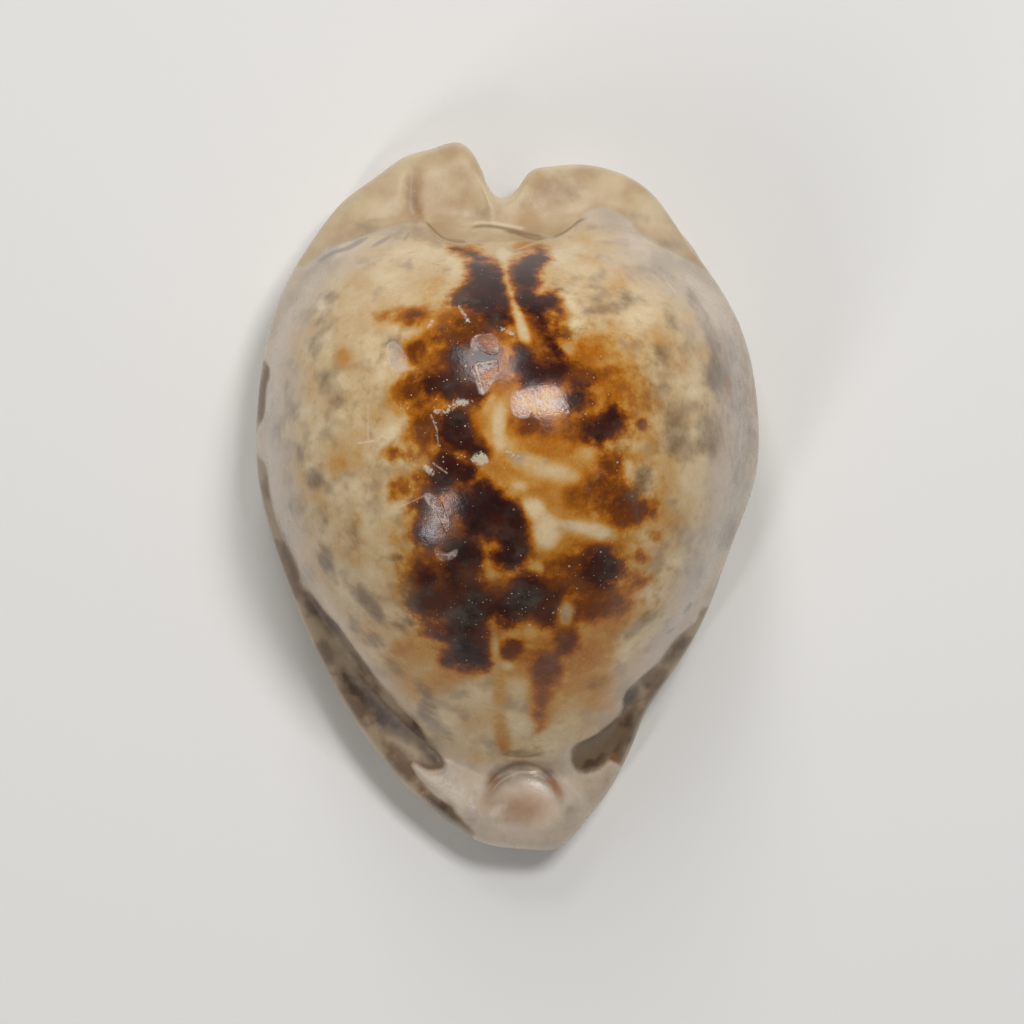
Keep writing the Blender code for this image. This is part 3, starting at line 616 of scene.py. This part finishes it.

# Scratches, and a painted highlight along two edges of the first chip's glint: from column and row, to column
# and row, half width in pixels, brightness.
SCRATCHES_AND_GLINT_RIMS = (
    (359, 443, 373, 441, 1.0, 1.0), (368, 405, 368, 440, 0.7, 0.5), (431, 415, 437, 430, 0.8, 0.6),
    (437, 430, 438, 445, 0.7, 0.5), (433, 463, 447, 473, 0.8, 0.6), (400, 507, 424, 496, 0.7, 0.45),
    (667, 282, 676, 292, 0.9, 0.7), (688, 380, 700, 400, 0.7, 0.5), (459, 307, 467, 320, 1.4, 0.7),
    # The last entry on the next line and the one after it are that painted highlight, a pale L round the
    # first chip.
    (428, 327, 432, 321, 1.3, 0.6), (382, 436, 386, 438, 1.3, 0.9), (476, 366, 483, 394, 0.9, 0.8),
    (476, 364, 496, 361, 0.8, 0.5),
)
LINE_MARK_SOFTNESS = 0.7
# Folds in the enamel at both ends: half width in pixels, lift in millimetres, painted shading, then columns
# and rows. The shading is painted shade along the sunken folds and painted highlight along the raised ones.
FOLDS = (
    (1.5, -0.05, -0.55, (424, 221, 430, 226, 436, 232, 442, 237, 450, 240, 460, 241.5, 468, 242)),
    (1.0, -0.03, -0.3, (430, 232, 440, 240, 455, 245, 470, 247)),
    (1.6, -0.05, -0.6, (468, 228, 485, 226, 505, 228.5, 525, 233.5, 548, 238)),
    (1.5, 0.05, 0.5, (470, 225, 480, 222.5, 492, 223, 505, 225, 527, 229)),
    (1.5, -0.05, -0.6, (500, 230.5, 515, 233, 530, 238, 540, 239.5, 550, 239, 558, 236, 566, 231.5,
     572, 227, 584, 219, 590, 218)),
    (1.3, 0.04, 0.5, (540, 241, 552, 239.5, 562, 236, 570, 231, 576, 226)),
    (2.2, -0.08, -0.55, (484, 792, 492, 779, 504, 769, 520, 763, 536, 766, 550, 776, 560, 788)),
    (1.3, 0.03, 0.3, (489, 797, 498, 784, 510, 776, 524, 772, 538, 775, 549, 784)),
    (1.2, -0.03, -0.45, (500, 753, 515, 756, 530, 756, 541, 752)),
    (1.0, 0.03, 0.35, (515, 251, 522, 248, 530, 245, 538, 242, 555, 237)),
)
# How much wider than its painted shading a fold's relief is, in pixels, and the part of its length in which
# it fades.
FOLD_SPREAD = 2.5
FOLD_END = 0.12
# Rows left free above and below a fold's line in the curve that holds it.
FOLD_ROOM = 5.0

# The glaze's colours from the least to the most pigment, as they look on a screen.
PIGMENT = (
    (0.0, (228, 206, 166)), (0.14, (208, 178, 132)), (0.3, (194, 142, 68)), (0.44, (172, 100, 12)),
    (0.6, (114, 56, 4)), (0.78, (60, 20, 6)), (1.0, (26, 3, 3)),
)
# How far apart the seeds' noises are, in millimetres.
SEED_STEP = 61.7
# Places are squeezed by this for noises that are drawn out in height.
DRAWN_OUT = (1.0, 1.0, 0.45)
# From where to where each cover goes from nothing to full.
CLOUD_EDGE = (0.04, 0.96)
VEIL_EDGE = (-0.6, 2.4)
CHIP_AND_GLINT_EDGE = (-0.04, 0.05)
CRUST_EDGE = (0.0, 0.25)

# Around the shell, in metres: the floor, how high the lamps aim and how far off they are.
FLOOR_HALF = 3.0
LAMP_AIM = 0.012
LAMP_DISTANCE = 0.45
# Each lamp's name, the direction to it, its size in metres and its power in watts.
LAMPS = (
    ("lamp over the right hind side", (0.25, 0.33, 0.91), (0.105, 0.085), 0.95),
    ("lamp low over the hind end", (-0.11, 0.72, 0.66), (0.12, 0.22), 0.6),
    ("lamp over the left front side", (-0.455, -0.60, 0.65), (0.03, 0.2), 0.35),
)
SENSOR_WIDTH = 36.0
CLIP = (0.01, 20.0)


def in_picture(points):
    """Where points, in millimetres, show in the picture: column and row."""
    nearer = (CAMERA_HEIGHT - MARGIN_LEVEL) / (CAMERA_HEIGHT - points[:, 2]) / PIXEL
    column = PICTURE_MIDDLE + (points[:, 0] - CAMERA_X) * nearer
    row = PICTURE_MIDDLE - (points[:, 1] - CAMERA_Y) * nearer
    return np.stack([column, row], axis=1)


def pairs(line):
    """The columns and rows of a line, two by two."""
    return np.reshape(np.array(line, float), (-1, 2))


def inside_outline(outline, places):
    """How far places lie inside one smooth closed outline, in pixels, below 0 outside it."""
    given = pairs(outline)
    count = len(given)
    curve = spline(range(count), given, np.arange(0.0, count, OUTLINE_STEP), count)
    low = curve.min(axis=0) - TOLD_REACH
    high = curve.max(axis=0) + TOLD_REACH
    near = np.all((places > low) & (places < high), axis=1)
    place = places[near][:, None]
    end = np.roll(curve, -1, axis=0)
    side = end - curve
    along = np.clip(((place - curve) * side).sum(axis=2) / (side ** 2).sum(axis=1), 0.0, 1.0)
    distance = np.linalg.norm(place - curve - along[..., None] * side, axis=2).min(axis=1)
    spans = (curve[:, 1] > place[..., 1]) != (end[:, 1] > place[..., 1])
    slant = np.where(np.abs(side[:, 1]) < TINY, TINY, side[:, 1])
    crosses = curve[:, 0] + (place[..., 1] - curve[:, 1]) * side[:, 0] / slant > place[..., 0]
    inside = (spans & crosses).sum(axis=1) % 2 == 1
    result = np.full(len(places), -TOLD_REACH)
    result[near] = np.clip(np.where(inside, distance, -distance), -TOLD_REACH, None)
    return result


def inside_any(outlines, places):
    """How far places lie inside the nearest of some outlines, in millimetres."""
    return np.max([inside_outline(outline, places) for outline in outlines], axis=0) * PIXEL


def soft_marks(rows, places):
    """How much soft marks cover places, from 0 to 1."""
    clear = np.ones(len(places))
    for column, row, half_width, half_length, percent, *lean in rows:
        turn = math.radians(lean[0]) if lean else 0.0
        right, down = (places - (column, row)).T
        across = (right * math.cos(turn) + down * math.sin(turn)) / half_width
        along = (down * math.cos(turn) - right * math.sin(turn)) / half_length
        clear *= 1.0 - percent / 100.0 * np.exp(-HALF_FALL * (across ** 2 + along ** 2) ** FALL_POWER)
    return 1.0 - clear


def shell_fields(points):
    """The fields that the enamel's pattern is made from, for points [ring, point, xyz] in millimetres."""
    rings, count, _ = points.shape
    to_margin, to_lip, to_crown = RINGS
    # Below the margin the pattern goes on straight down from it.
    below = np.repeat(points[to_margin][None], rings - to_margin - 1, axis=0)
    places = in_picture(np.concatenate([points[:to_margin + 1], below]).reshape(-1, 3))
    fields = {name: inside_any(outlines, places) for name, outlines in OUTLINED.items()}
    for name, rows in SOFT.items():
        fields[name] = soft_marks(rows, places)
    ring = np.repeat(np.arange(rings), count)
    # A band along the margin, as seen from above.
    fields["rim"] = smooth_step(*RIM_BAND, np.minimum(ring / to_margin, 1.0))
    # How far round the surface has turned: 0 at the margin's widest, 1 at the lip of the aperture.
    fields["under"] = np.clip((ring - to_margin) / to_lip, 0.0, 1.0)
    fields["inside"] = smooth_step(0.0, INSIDE_FADE, (ring - to_margin - to_lip) / to_crown)
    return fields


def fold_lift(points):
    """How far the folds at the two ends lift the surface, in millimetres."""
    column, row = in_picture(points.reshape(-1, 3)).T
    total = np.zeros(len(column))
    for half_width, lift, _, line in FOLDS:
        at, rows = pairs(line).T
        share = (column - at[0]) / (at[-1] - at[0])
        ends = smooth_step(0.0, FOLD_END, share) * smooth_step(1.0, 1.0 - FOLD_END, share)
        off_line = (row - spline(at, rows, column)) / (half_width + FOLD_SPREAD)
        total += lift * ends * np.exp(-off_line ** 2)
    return total.reshape(points.shape[:2])


def step_down(points, fields):
    """Let the hind shelf and the flanks lie a step below the enamel of the back, and fold its ends."""
    shape = points.shape[:2]
    shelf = SHELF_STEP * smooth_step(*STEP_EDGE, fields["shelf"].reshape(shape))
    flank = FLANK_STEP * smooth_step(*STEP_EDGE, fields["flank"].reshape(shape))
    ring = np.arange(shape[0])[:, None] / RINGS[0]
    fade = (1.0 - smooth_step(0.9, 1.0, ring)) * smooth_step(0.1, 0.2, ring)
    normal = np.cross(np.gradient(points, axis=0), np.roll(points, -1, axis=1) - np.roll(points, 1, axis=1))
    length = np.linalg.norm(normal, axis=2, keepdims=True)
    normal = np.divide(normal, length, out=np.zeros_like(normal), where=length > TINY)
    normal *= np.where(normal[..., 2:] < 0.0, -1.0, 1.0)
    return points + normal * (fold_lift(points) * fade - np.maximum(shelf, flank) * fade)[..., None]


def close_ends(values):
    """Values [ring, point, number] as the mesh lists them: its first and last rings are one point each."""
    middle = values[1:-1].reshape(-1, values.shape[2])
    return np.concatenate([values[:1].mean(axis=1), middle, values[-1:].mean(axis=1)])


def shell_surface(name):
    """The fine closed mesh of the shell with its fields."""
    points = Loft(RING_POINTS).points(RINGS)
    fields = shell_fields(points)
    vertices = close_ends(step_down(points, fields))
    rings, count, _ = points.shape
    start = 1 + np.arange(count)
    after = np.roll(start, -1)
    last = len(vertices) - 1
    faces = [(0, i, j) for i, j in zip(start.tolist(), after.tolist())]
    band = np.stack([start, start + count, after + count, after], axis=1)
    for ring in range(rings - 3):
        faces += (band + ring * count).tolist()
    faces += [(last - 1 - count + i, last, last - 1 - count + j) for _, i, j in faces[:count]]
    mesh = bpy.data.meshes.new(name)
    mesh.from_pydata((vertices * MM).tolist(), [], faces)
    mesh.shade_smooth()
    for field, values in fields.items():
        attribute = mesh.attributes.new(field, "FLOAT", "POINT")
        values = close_ends(values.reshape(rings, count, 1)).ravel()
        attribute.data.foreach_set("value", values.astype(np.float32))
    return place_in_scene(name, mesh)


def place_in_scene(name, data):
    """A new object at the origin."""
    thing = bpy.data.objects.new(name, data)
    bpy.context.scene.collection.objects.link(thing)
    return thing


def colour(red, green, blue):
    """A colour given as it looks on a screen, from 0 to 255."""
    screen = [channel / 255.0 for channel in (red, green, blue)]
    linear = [c / 12.92 if c <= 0.04045 else ((c + 0.055) / 1.055) ** 2.4 for c in screen]
    return (*linear, 1.0)


class Nodes:
    """A node tree, and the steps that are worked out in it."""

    def __init__(self, tree):
        self.tree = tree

    def add(self, kind, inputs=(), **settings):
        """Add a node. Each input has its name or place, and a value or the socket that feeds it."""
        node = self.tree.nodes.new(kind)
        for name, value in settings.items():
            setattr(node, name, value)
        for name, value in dict(inputs).items():
            if isinstance(value, bpy.types.NodeSocket):
                self.tree.links.new(value, node.inputs[name])
            else:
                node.inputs[name].default_value = value
        return node

    def calculate(self, operation, *numbers, clamp=False):
        """Work with one to three numbers."""
        inputs = dict(enumerate(numbers))
        return self.add("ShaderNodeMath", inputs, operation=operation, use_clamp=clamp).outputs[0]

    def plus(self, first, *others):
        for other in others:
            first = self.calculate("ADD", first, other)
        return first

    def minus(self, first, second):
        return self.calculate("SUBTRACT", first, second)

    def times(self, first, *others):
        for other in others:
            first = self.calculate("MULTIPLY", first, other)
        return first

    def vector(self, operation, first, second, output=0):
        """Work with two places. Output 1 is for results that are a number."""
        return self.add("ShaderNodeVectorMath", {0: first, 1: second}, operation=operation).outputs[output]

    def scaled(self, place, factor):
        return self.add("ShaderNodeVectorMath", {0: place, "Scale": factor}, operation="SCALE").outputs[0]

    def rise(self, value, low, high):
        """0 below low, 1 above high, smooth between."""
        inputs = {"Value": value, "From Min": low, "From Max": high}
        return self.add("ShaderNodeMapRange", inputs, interpolation_type="SMOOTHSTEP").outputs["Result"]

    def layer(self, below, above, cover):
        """Lay one colour over another one."""
        return self.add("ShaderNodeMix", {0: cover, 6: below, 7: above}, data_type="RGBA").outputs[2]

    def blend(self, below, above, cover):
        """Go from one number to another one where the cover goes from 0 to 1."""
        return self.add("ShaderNodeMix", {0: cover, 2: below, 3: above}, data_type="FLOAT").outputs[0]

    def field(self, name):
        """One of the fields that the mesh carries."""
        return self.add("ShaderNodeAttribute", attribute_name=name).outputs["Fac"]

    def moved(self, place, seed):
        """A place moved far off, so that each seed reads another part of a noise."""
        away = SEED_STEP * seed
        return self.vector("ADD", place, (away, -away, away))

    def grain(self, place, per_mm, detail, roughness, seed):
        """Noise from 0 to 1 with so many waves in a millimetre."""
        inputs = {"Vector": self.moved(place, seed), "Scale": per_mm}
        inputs.update(Detail=detail, Roughness=roughness)
        return self.add("ShaderNodeTexNoise", inputs).outputs[0]

    def centred(self, noise, size):
        """A noise of this size on both sides of 0."""
        return self.times(self.minus(noise, 0.5), size)

    def roughened(self, value, noise, size):
        return self.plus(value, self.centred(noise, size))

    def specks(self, place, per_mm, size, share, seed):
        """Small round specks: a share of a random net's cells has one of about this size, in millimetres."""
        net = self.add("ShaderNodeTexVoronoi", {"Vector": self.moved(place, seed), "Scale": per_mm})
        chance = self.add("ShaderNodeSeparateColor", {"Color": net.outputs["Color"]}).outputs[0]
        radius = self.times(chance, size * per_mm / share)
        dot = self.calculate("LESS_THAN", net.outputs["Distance"], radius)
        return self.times(dot, self.calculate("LESS_THAN", chance, share))

    def pigment(self, amount):
        """The colour of so much pigment in the glaze."""
        node = self.add("ShaderNodeValToRGB", {"Fac": amount})
        stops = node.color_ramp.elements
        while len(stops) < len(PIGMENT):
            stops.new(1.0)
        for stop, (position, screen) in zip(stops, PIGMENT):
            stop.position = position
            stop.color = colour(*screen)
        return node.outputs["Color"]


def line_mark_group():
    """A node group: how much of a line between two places shows at a place seen."""
    group = bpy.data.node_groups.new("line mark", "ShaderNodeTree")
    for name in ("Seen", "Start", "End"):
        group.interface.new_socket(name, in_out="INPUT", socket_type="NodeSocketVector")
    group.interface.new_socket("Half Width", in_out="INPUT", socket_type="NodeSocketFloat")
    group.interface.new_socket("Mask", in_out="OUTPUT", socket_type="NodeSocketFloat")
    given = group.nodes.new("NodeGroupInput").outputs
    made = Nodes(group)
    away = made.vector("SUBTRACT", given["Seen"], given["Start"])
    run = made.vector("SUBTRACT", given["End"], given["Start"])
    share = made.calculate("DIVIDE", *(made.vector("DOT_PRODUCT", other, run, 1) for other in (away, run)))
    share = made.calculate("MINIMUM", made.calculate("MAXIMUM", share, 0.0), 1.0)
    distance = made.vector("DISTANCE", away, made.scaled(run, share), 1)
    mask = made.rise(distance, made.plus(given["Half Width"], LINE_MARK_SOFTNESS), 0.0)
    group.links.new(mask, group.nodes.new("NodeGroupOutput").inputs["Mask"])
    return group


def picture_place(made, place):
    """Where a place in millimetres shows in the picture, as column and row sockets."""
    x, y, z = made.add("ShaderNodeSeparateXYZ", {0: place}).outputs
    nearer = made.calculate("DIVIDE", (CAMERA_HEIGHT - MARGIN_LEVEL) / PIXEL, made.minus(CAMERA_HEIGHT, z))
    right = made.times(made.minus(x, CAMERA_X), nearer)
    down = made.times(made.minus(CAMERA_Y, y), nearer)
    return made.plus(right, PICTURE_MIDDLE), made.plus(down, PICTURE_MIDDLE)


def scratch_and_glint_rim_marks(made, column, row):
    """All scratches, and the painted pale rim of the first chip's glint, as one mask."""
    seen = made.add("ShaderNodeCombineXYZ", {"X": column, "Y": row}).outputs[0]
    group = line_mark_group()
    total = 0.0
    for start_column, start_row, end_column, end_row, half_width, strength in SCRATCHES_AND_GLINT_RIMS:
        inputs = {
            "Seen": seen,
            "Start": (start_column, start_row, 0.0),
            "End": (end_column, end_row, 0.0),
            "Half Width": half_width,
        }
        mask = made.add("ShaderNodeGroup", inputs, node_tree=group).outputs["Mask"]
        total = made.calculate("MAXIMUM", total, made.times(mask, strength))
    return total


def fold_mask(made, column, row, half_width, line):
    """How much a place lies on one fold line."""
    at, rows = pairs(line).T
    top = rows.min() - FOLD_ROOM
    height = rows.max() + FOLD_ROOM - top
    width = at[-1] - at[0]
    share = made.calculate("DIVIDE", made.minus(column, at[0]), width)
    curve = made.add("ShaderNodeFloatCurve", {"Value": share})
    points = curve.mapping.curves[0].points
    first, *between, last = zip((at - at[0]) / width, (rows - top) / height)
    points[0].location = first
    points[1].location = last
    for place in between:
        points.new(*place)
    curve.mapping.update()
    line_row = made.calculate("MULTIPLY_ADD", curve.outputs[0], height, top)
    distance = made.calculate("ABSOLUTE", made.minus(row, line_row))
    ends = made.times(made.rise(share, 0.0, FOLD_END), made.rise(share, 1.0, 1.0 - FOLD_END))
    return made.times(made.rise(distance, 2.0 * half_width, 0.0), ends)


def new_material(name):
    """A new material and the inputs of its shader."""
    material = bpy.data.materials.new(name)
    material.use_nodes = True
    return material, material.node_tree.nodes["Principled BSDF"].inputs


def enamel_material():
    """The shell's glossy enamel: fawn and amber with dark blotches, under a grey veil towards the margins."""
    material, shader = new_material("shell enamel")
    made = Nodes(material.node_tree)
    plus, times, rise, layer, blend = made.plus, made.times, made.rise, made.layer, made.blend
    field, centred, roughened = made.field, made.centred, made.roughened
    place = made.scaled(made.add("ShaderNodeTexCoord").outputs["Object"], 1.0 / MM)
    tall = made.vector("MULTIPLY", place, DRAWN_OUT)
    # Noises: the place that they read, waves in a millimetre, octaves, roughness and seed.
    broad = made.grain(place, 0.16, 2.0, 0.5, 1.0)
    cloudy = made.grain(tall, 0.4, 3.0, 0.55, 2.0)
    ragged = made.grain(place, 1.1, 3.0, 0.55, 3.0)
    fine = made.grain(place, 4.5, 3.0, 0.6, 4.0)
    mottle = made.grain(tall, 0.34, 3.0, 0.5, 6.0)
    drift = made.grain(tall, 0.5, 2.0, 0.5, 7.0)
    column, row = picture_place(made, place)
    under = field("under")
    upper = rise(under, 0.03, 0.0)

    def cloud(name, tear):
        return rise(roughened(field(name), ragged, tear), *CLOUD_EDGE)

    # The pigment in the glaze of the back.
    amount = plus(0.14, centred(mottle, 0.6))
    amount = blend(amount, roughened(0.40, drift, 0.2), cloud("amber_cloud", 0.6))
    amount = blend(amount, roughened(0.64, drift, 0.3), cloud("brown_cloud", 0.9))
    amount = blend(amount, 0.05, times(cloud("cream_cloud", 1.0), 0.9))
    blotch = roughened(roughened(field("dark_blotch"), ragged, 1.0), fine, 0.1)
    depth = roughened(roughened(0.88, drift, 0.6), ragged, 0.35)
    amount = roughened(blend(amount, depth, rise(blotch, -0.85, 0.55)), fine, 0.13)
    skin = made.pigment(amount)

    # Where the enamel of the back ends, and where the grey veil lies over it.
    shelf = rise(field("shelf"), -0.1, 0.3)
    flank = rise(roughened(field("flank"), ragged, 0.3), -0.1, 0.25)
    outwards = times(field("inner_edge"), -1.0)
    veil = rise(roughened(roughened(outwards, cloudy, 3.0), ragged, 1.0), *VEIL_EDGE)

    # Chips with painted highlights and reflections, crusts and specks.
    chip_and_glint = rise(roughened(field("chip_and_glint"), fine, 0.3), *CHIP_AND_GLINT_EDGE)
    chip_and_glint_rim = times(rise(made.calculate("ABSOLUTE", field("chip_and_glint")), 0.14, 0.0), rise(ragged, 0.4, 0.6))
    frosted_glint = plus(0.15, times(rise(roughened(ragged, fine, 0.6), 0.42, 0.66), 0.45))
    crust = rise(roughened(roughened(field("crust"), ragged, 1.0), fine, 1.0), *CRUST_EDGE)
    speckled = cloud("speckled_cloud", 1.0)
    speck = times(made.specks(place, 4.0, 0.06, 0.5, 9.0), speckled)
    speck = made.calculate("MAXIMUM", made.specks(place, 1.8, 0.09, 0.3, 8.0), speck)

    # The base, with brown spots near the margin.
    base = layer(colour(217, 198, 165), colour(227, 211, 183), rise(broad, 0.3, 0.7))
    net = made.add("ShaderNodeTexVoronoi", {"Vector": place, "Scale": 0.32, "Randomness": 0.9})
    spots = rise(roughened(net.outputs["Distance"], ragged, 0.5), 0.52, 0.3)
    near_margin = rise(roughened(under, cloudy, 0.3), 0.5, 0.3)
    base = layer(base, colour(122, 92, 68), times(spots, near_margin, 0.7))

    # Parts in two tones.
    dusk = layer(colour(108, 66, 44), colour(122, 108, 96), rise(drift, 0.45, 0.65))
    enamel = layer(colour(170, 156, 144), colour(218, 205, 190), rise(mottle, 0.3, 0.66))
    tan = layer(colour(184, 154, 116), colour(208, 186, 150), rise(mottle, 0.3, 0.7))
    smoke_and_shade = layer(colour(104, 80, 56), colour(128, 112, 102), times(veil, 0.8))
    wall = layer(colour(122, 96, 70), colour(170, 146, 116), rise(cloudy, 0.4, 0.6))
    stain = layer(colour(66, 46, 30), colour(116, 94, 70), rise(drift, 0.42, 0.6))

    # What lies over the pigment, from the lowest up: its colour, and how much it covers.
    coats = [
        (dusk, times(cloud("dusky_cloud", 1.3), 0.4)),
        (colour(132, 106, 86), times(rise(drift, 0.5, 0.72), rise(amount, 0.34, 0.2), 0.5)),
        (enamel, times(veil, 0.72)),
        (tan, shelf),
        # Smoky spots on the back, and painted shade in hollows on the shelf and around the knob.
        (smoke_and_shade, times(cloud("smoke_and_shade_spot", 0.8), 0.8)),
        (wall, flank),
        (stain, times(rise(roughened(field("flank_blotch"), ragged, 0.5), -0.4, 0.4), 0.88)),
        (colour(142, 130, 120), times(rise(field("slip"), -0.1, 0.1), 0.7)),
        (colour(150, 86, 28), rise(roughened(field("rust_spot"), ragged, 0.2), 0.0, 1.0)),
        (colour(222, 206, 180), times(rise(field("rim"), 0.0, 1.0), 0.45)),
        # Pale chips and their pale rims: partly the chips' own colour, partly painted highlights and
        # reflections of the lamps.
        (colour(206, 186, 178), times(chip_and_glint, frosted_glint)),
        (colour(206, 176, 164), times(chip_and_glint_rim, 0.4)),
        (colour(214, 204, 178), times(crust, 0.7)),
        # Scratches, with the painted pale rim of a glint among them.
        (colour(232, 212, 188), times(scratch_and_glint_rim_marks(made, column, row), upper, rise(fine, 0.3, 0.55), 0.75)),
    ]
    # Painted shade along the sunken folds and painted highlight along the raised ones.
    for half_width, _, fold_shading, line in FOLDS:
        tone = colour(112, 84, 56) if fold_shading < 0.0 else colour(232, 214, 182)
        coats.append((tone, times(fold_mask(made, column, row, half_width, line), upper, abs(fold_shading))))
    coats += [
        (colour(226, 206, 176), times(speck, upper, plus(0.2, times(speckled, 0.4)))),
        (base, rise(roughened(under, cloudy, 0.2), 0.0, 0.3)),
        (colour(205, 190, 182), field("inside")),
    ]
    for tone, cover in coats:
        skin = layer(skin, tone, cover)
    material.node_tree.links.new(skin, shader["Base Color"])

    # What the bump reads is worked out three times over, so it keeps to few noises.
    leathery = plus(0.35, times(rise(outwards, *VEIL_EDGE), 0.65))
    broken = made.minus(plus(times(fine, 0.04), times(cloudy, 0.08)), 0.1)
    height = plus(
        centred(broad, 0.1),
        centred(cloudy, 0.04),
        times(centred(fine, 0.02), leathery),
        times(rise(field("chip_and_glint"), *CHIP_AND_GLINT_EDGE), broken),
        times(rise(field("crust"), *CRUST_EDGE), fine, 0.1),
    )
    bump = made.add("ShaderNodeBump", {"Height": height, "Distance": MM, "Strength": 1.0})
    material.node_tree.links.new(bump.outputs["Normal"], shader["Normal"])

    # The hind shelf and the flanks are duller than the back.
    dull = made.calculate("MAXIMUM", made.calculate("MAXIMUM", shelf, flank), times(veil, 0.5))
    roughness = plus(0.18, times(dull, 0.2), centred(cloudy, 0.16), times(chip_and_glint, -0.06))
    roughness = made.calculate("ADD", roughness, times(crust, 0.4), clamp=True)
    material.node_tree.links.new(roughness, shader["Roughness"])
    shader["IOR"].default_value = 1.42
    return material


def make_floor():
    """A plain sheet of pale card under the shell."""
    material, shader = new_material("floor")
    shader["Base Color"].default_value = colour(232, 230, 226)
    shader["Roughness"].default_value = 0.8
    mesh = bpy.data.meshes.new("floor")
    corners = [(FLOOR_HALF * x, FLOOR_HALF * y, 0.0) for x, y in ((-1, -1), (1, -1), (1, 1), (-1, 1))]
    mesh.from_pydata(corners, [], [(0, 1, 2, 3)])
    mesh.materials.append(material)
    place_in_scene("floor", mesh)


def make_light(name, towards, size, power):
    """A soft rectangular lamp, in the direction towards from the shell and turned to it."""
    lamp = bpy.data.lights.new(name, "AREA")
    lamp.shape = "RECTANGLE"
    lamp.size, lamp.size_y = size
    lamp.energy = power
    light = place_in_scene(name, lamp)
    direction = Vector(towards).normalized()
    light.location = direction * LAMP_DISTANCE + Vector((0.0, 0.0, LAMP_AIM))
    light.rotation_euler = direction.to_track_quat("Z", "Y").to_euler()


def make_world():
    """Weak, even light from all around."""
    world = bpy.data.worlds.new("studio")
    world.use_nodes = True
    background = world.node_tree.nodes["Background"].inputs
    background["Color"].default_value = colour(236, 238, 242)
    background["Strength"].default_value = 0.22
    bpy.context.scene.world = world


def make_camera():
    """Straight above the shell, far off, as in the picture."""
    data = bpy.data.cameras.new("camera")
    data.sensor_width = SENSOR_WIDTH
    data.lens = data.sensor_width * (CAMERA_HEIGHT - MARGIN_LEVEL) / (PICTURE_MIDDLE * 2.0 * PIXEL)
    data.clip_start, data.clip_end = CLIP
    camera = place_in_scene("camera", data)
    camera.location = (CAMERA_X * MM, CAMERA_Y * MM, CAMERA_HEIGHT * MM)
    bpy.context.scene.camera = camera


shell = shell_surface("shell_enamel")
shell.data.materials.append(enamel_material())
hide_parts("shell")
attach(shell, "root")

scene = bpy.context.scene
scene.view_settings.view_transform = "Standard"

make_floor()
make_world()
for row in LAMPS:
    make_light(*row)
make_camera()
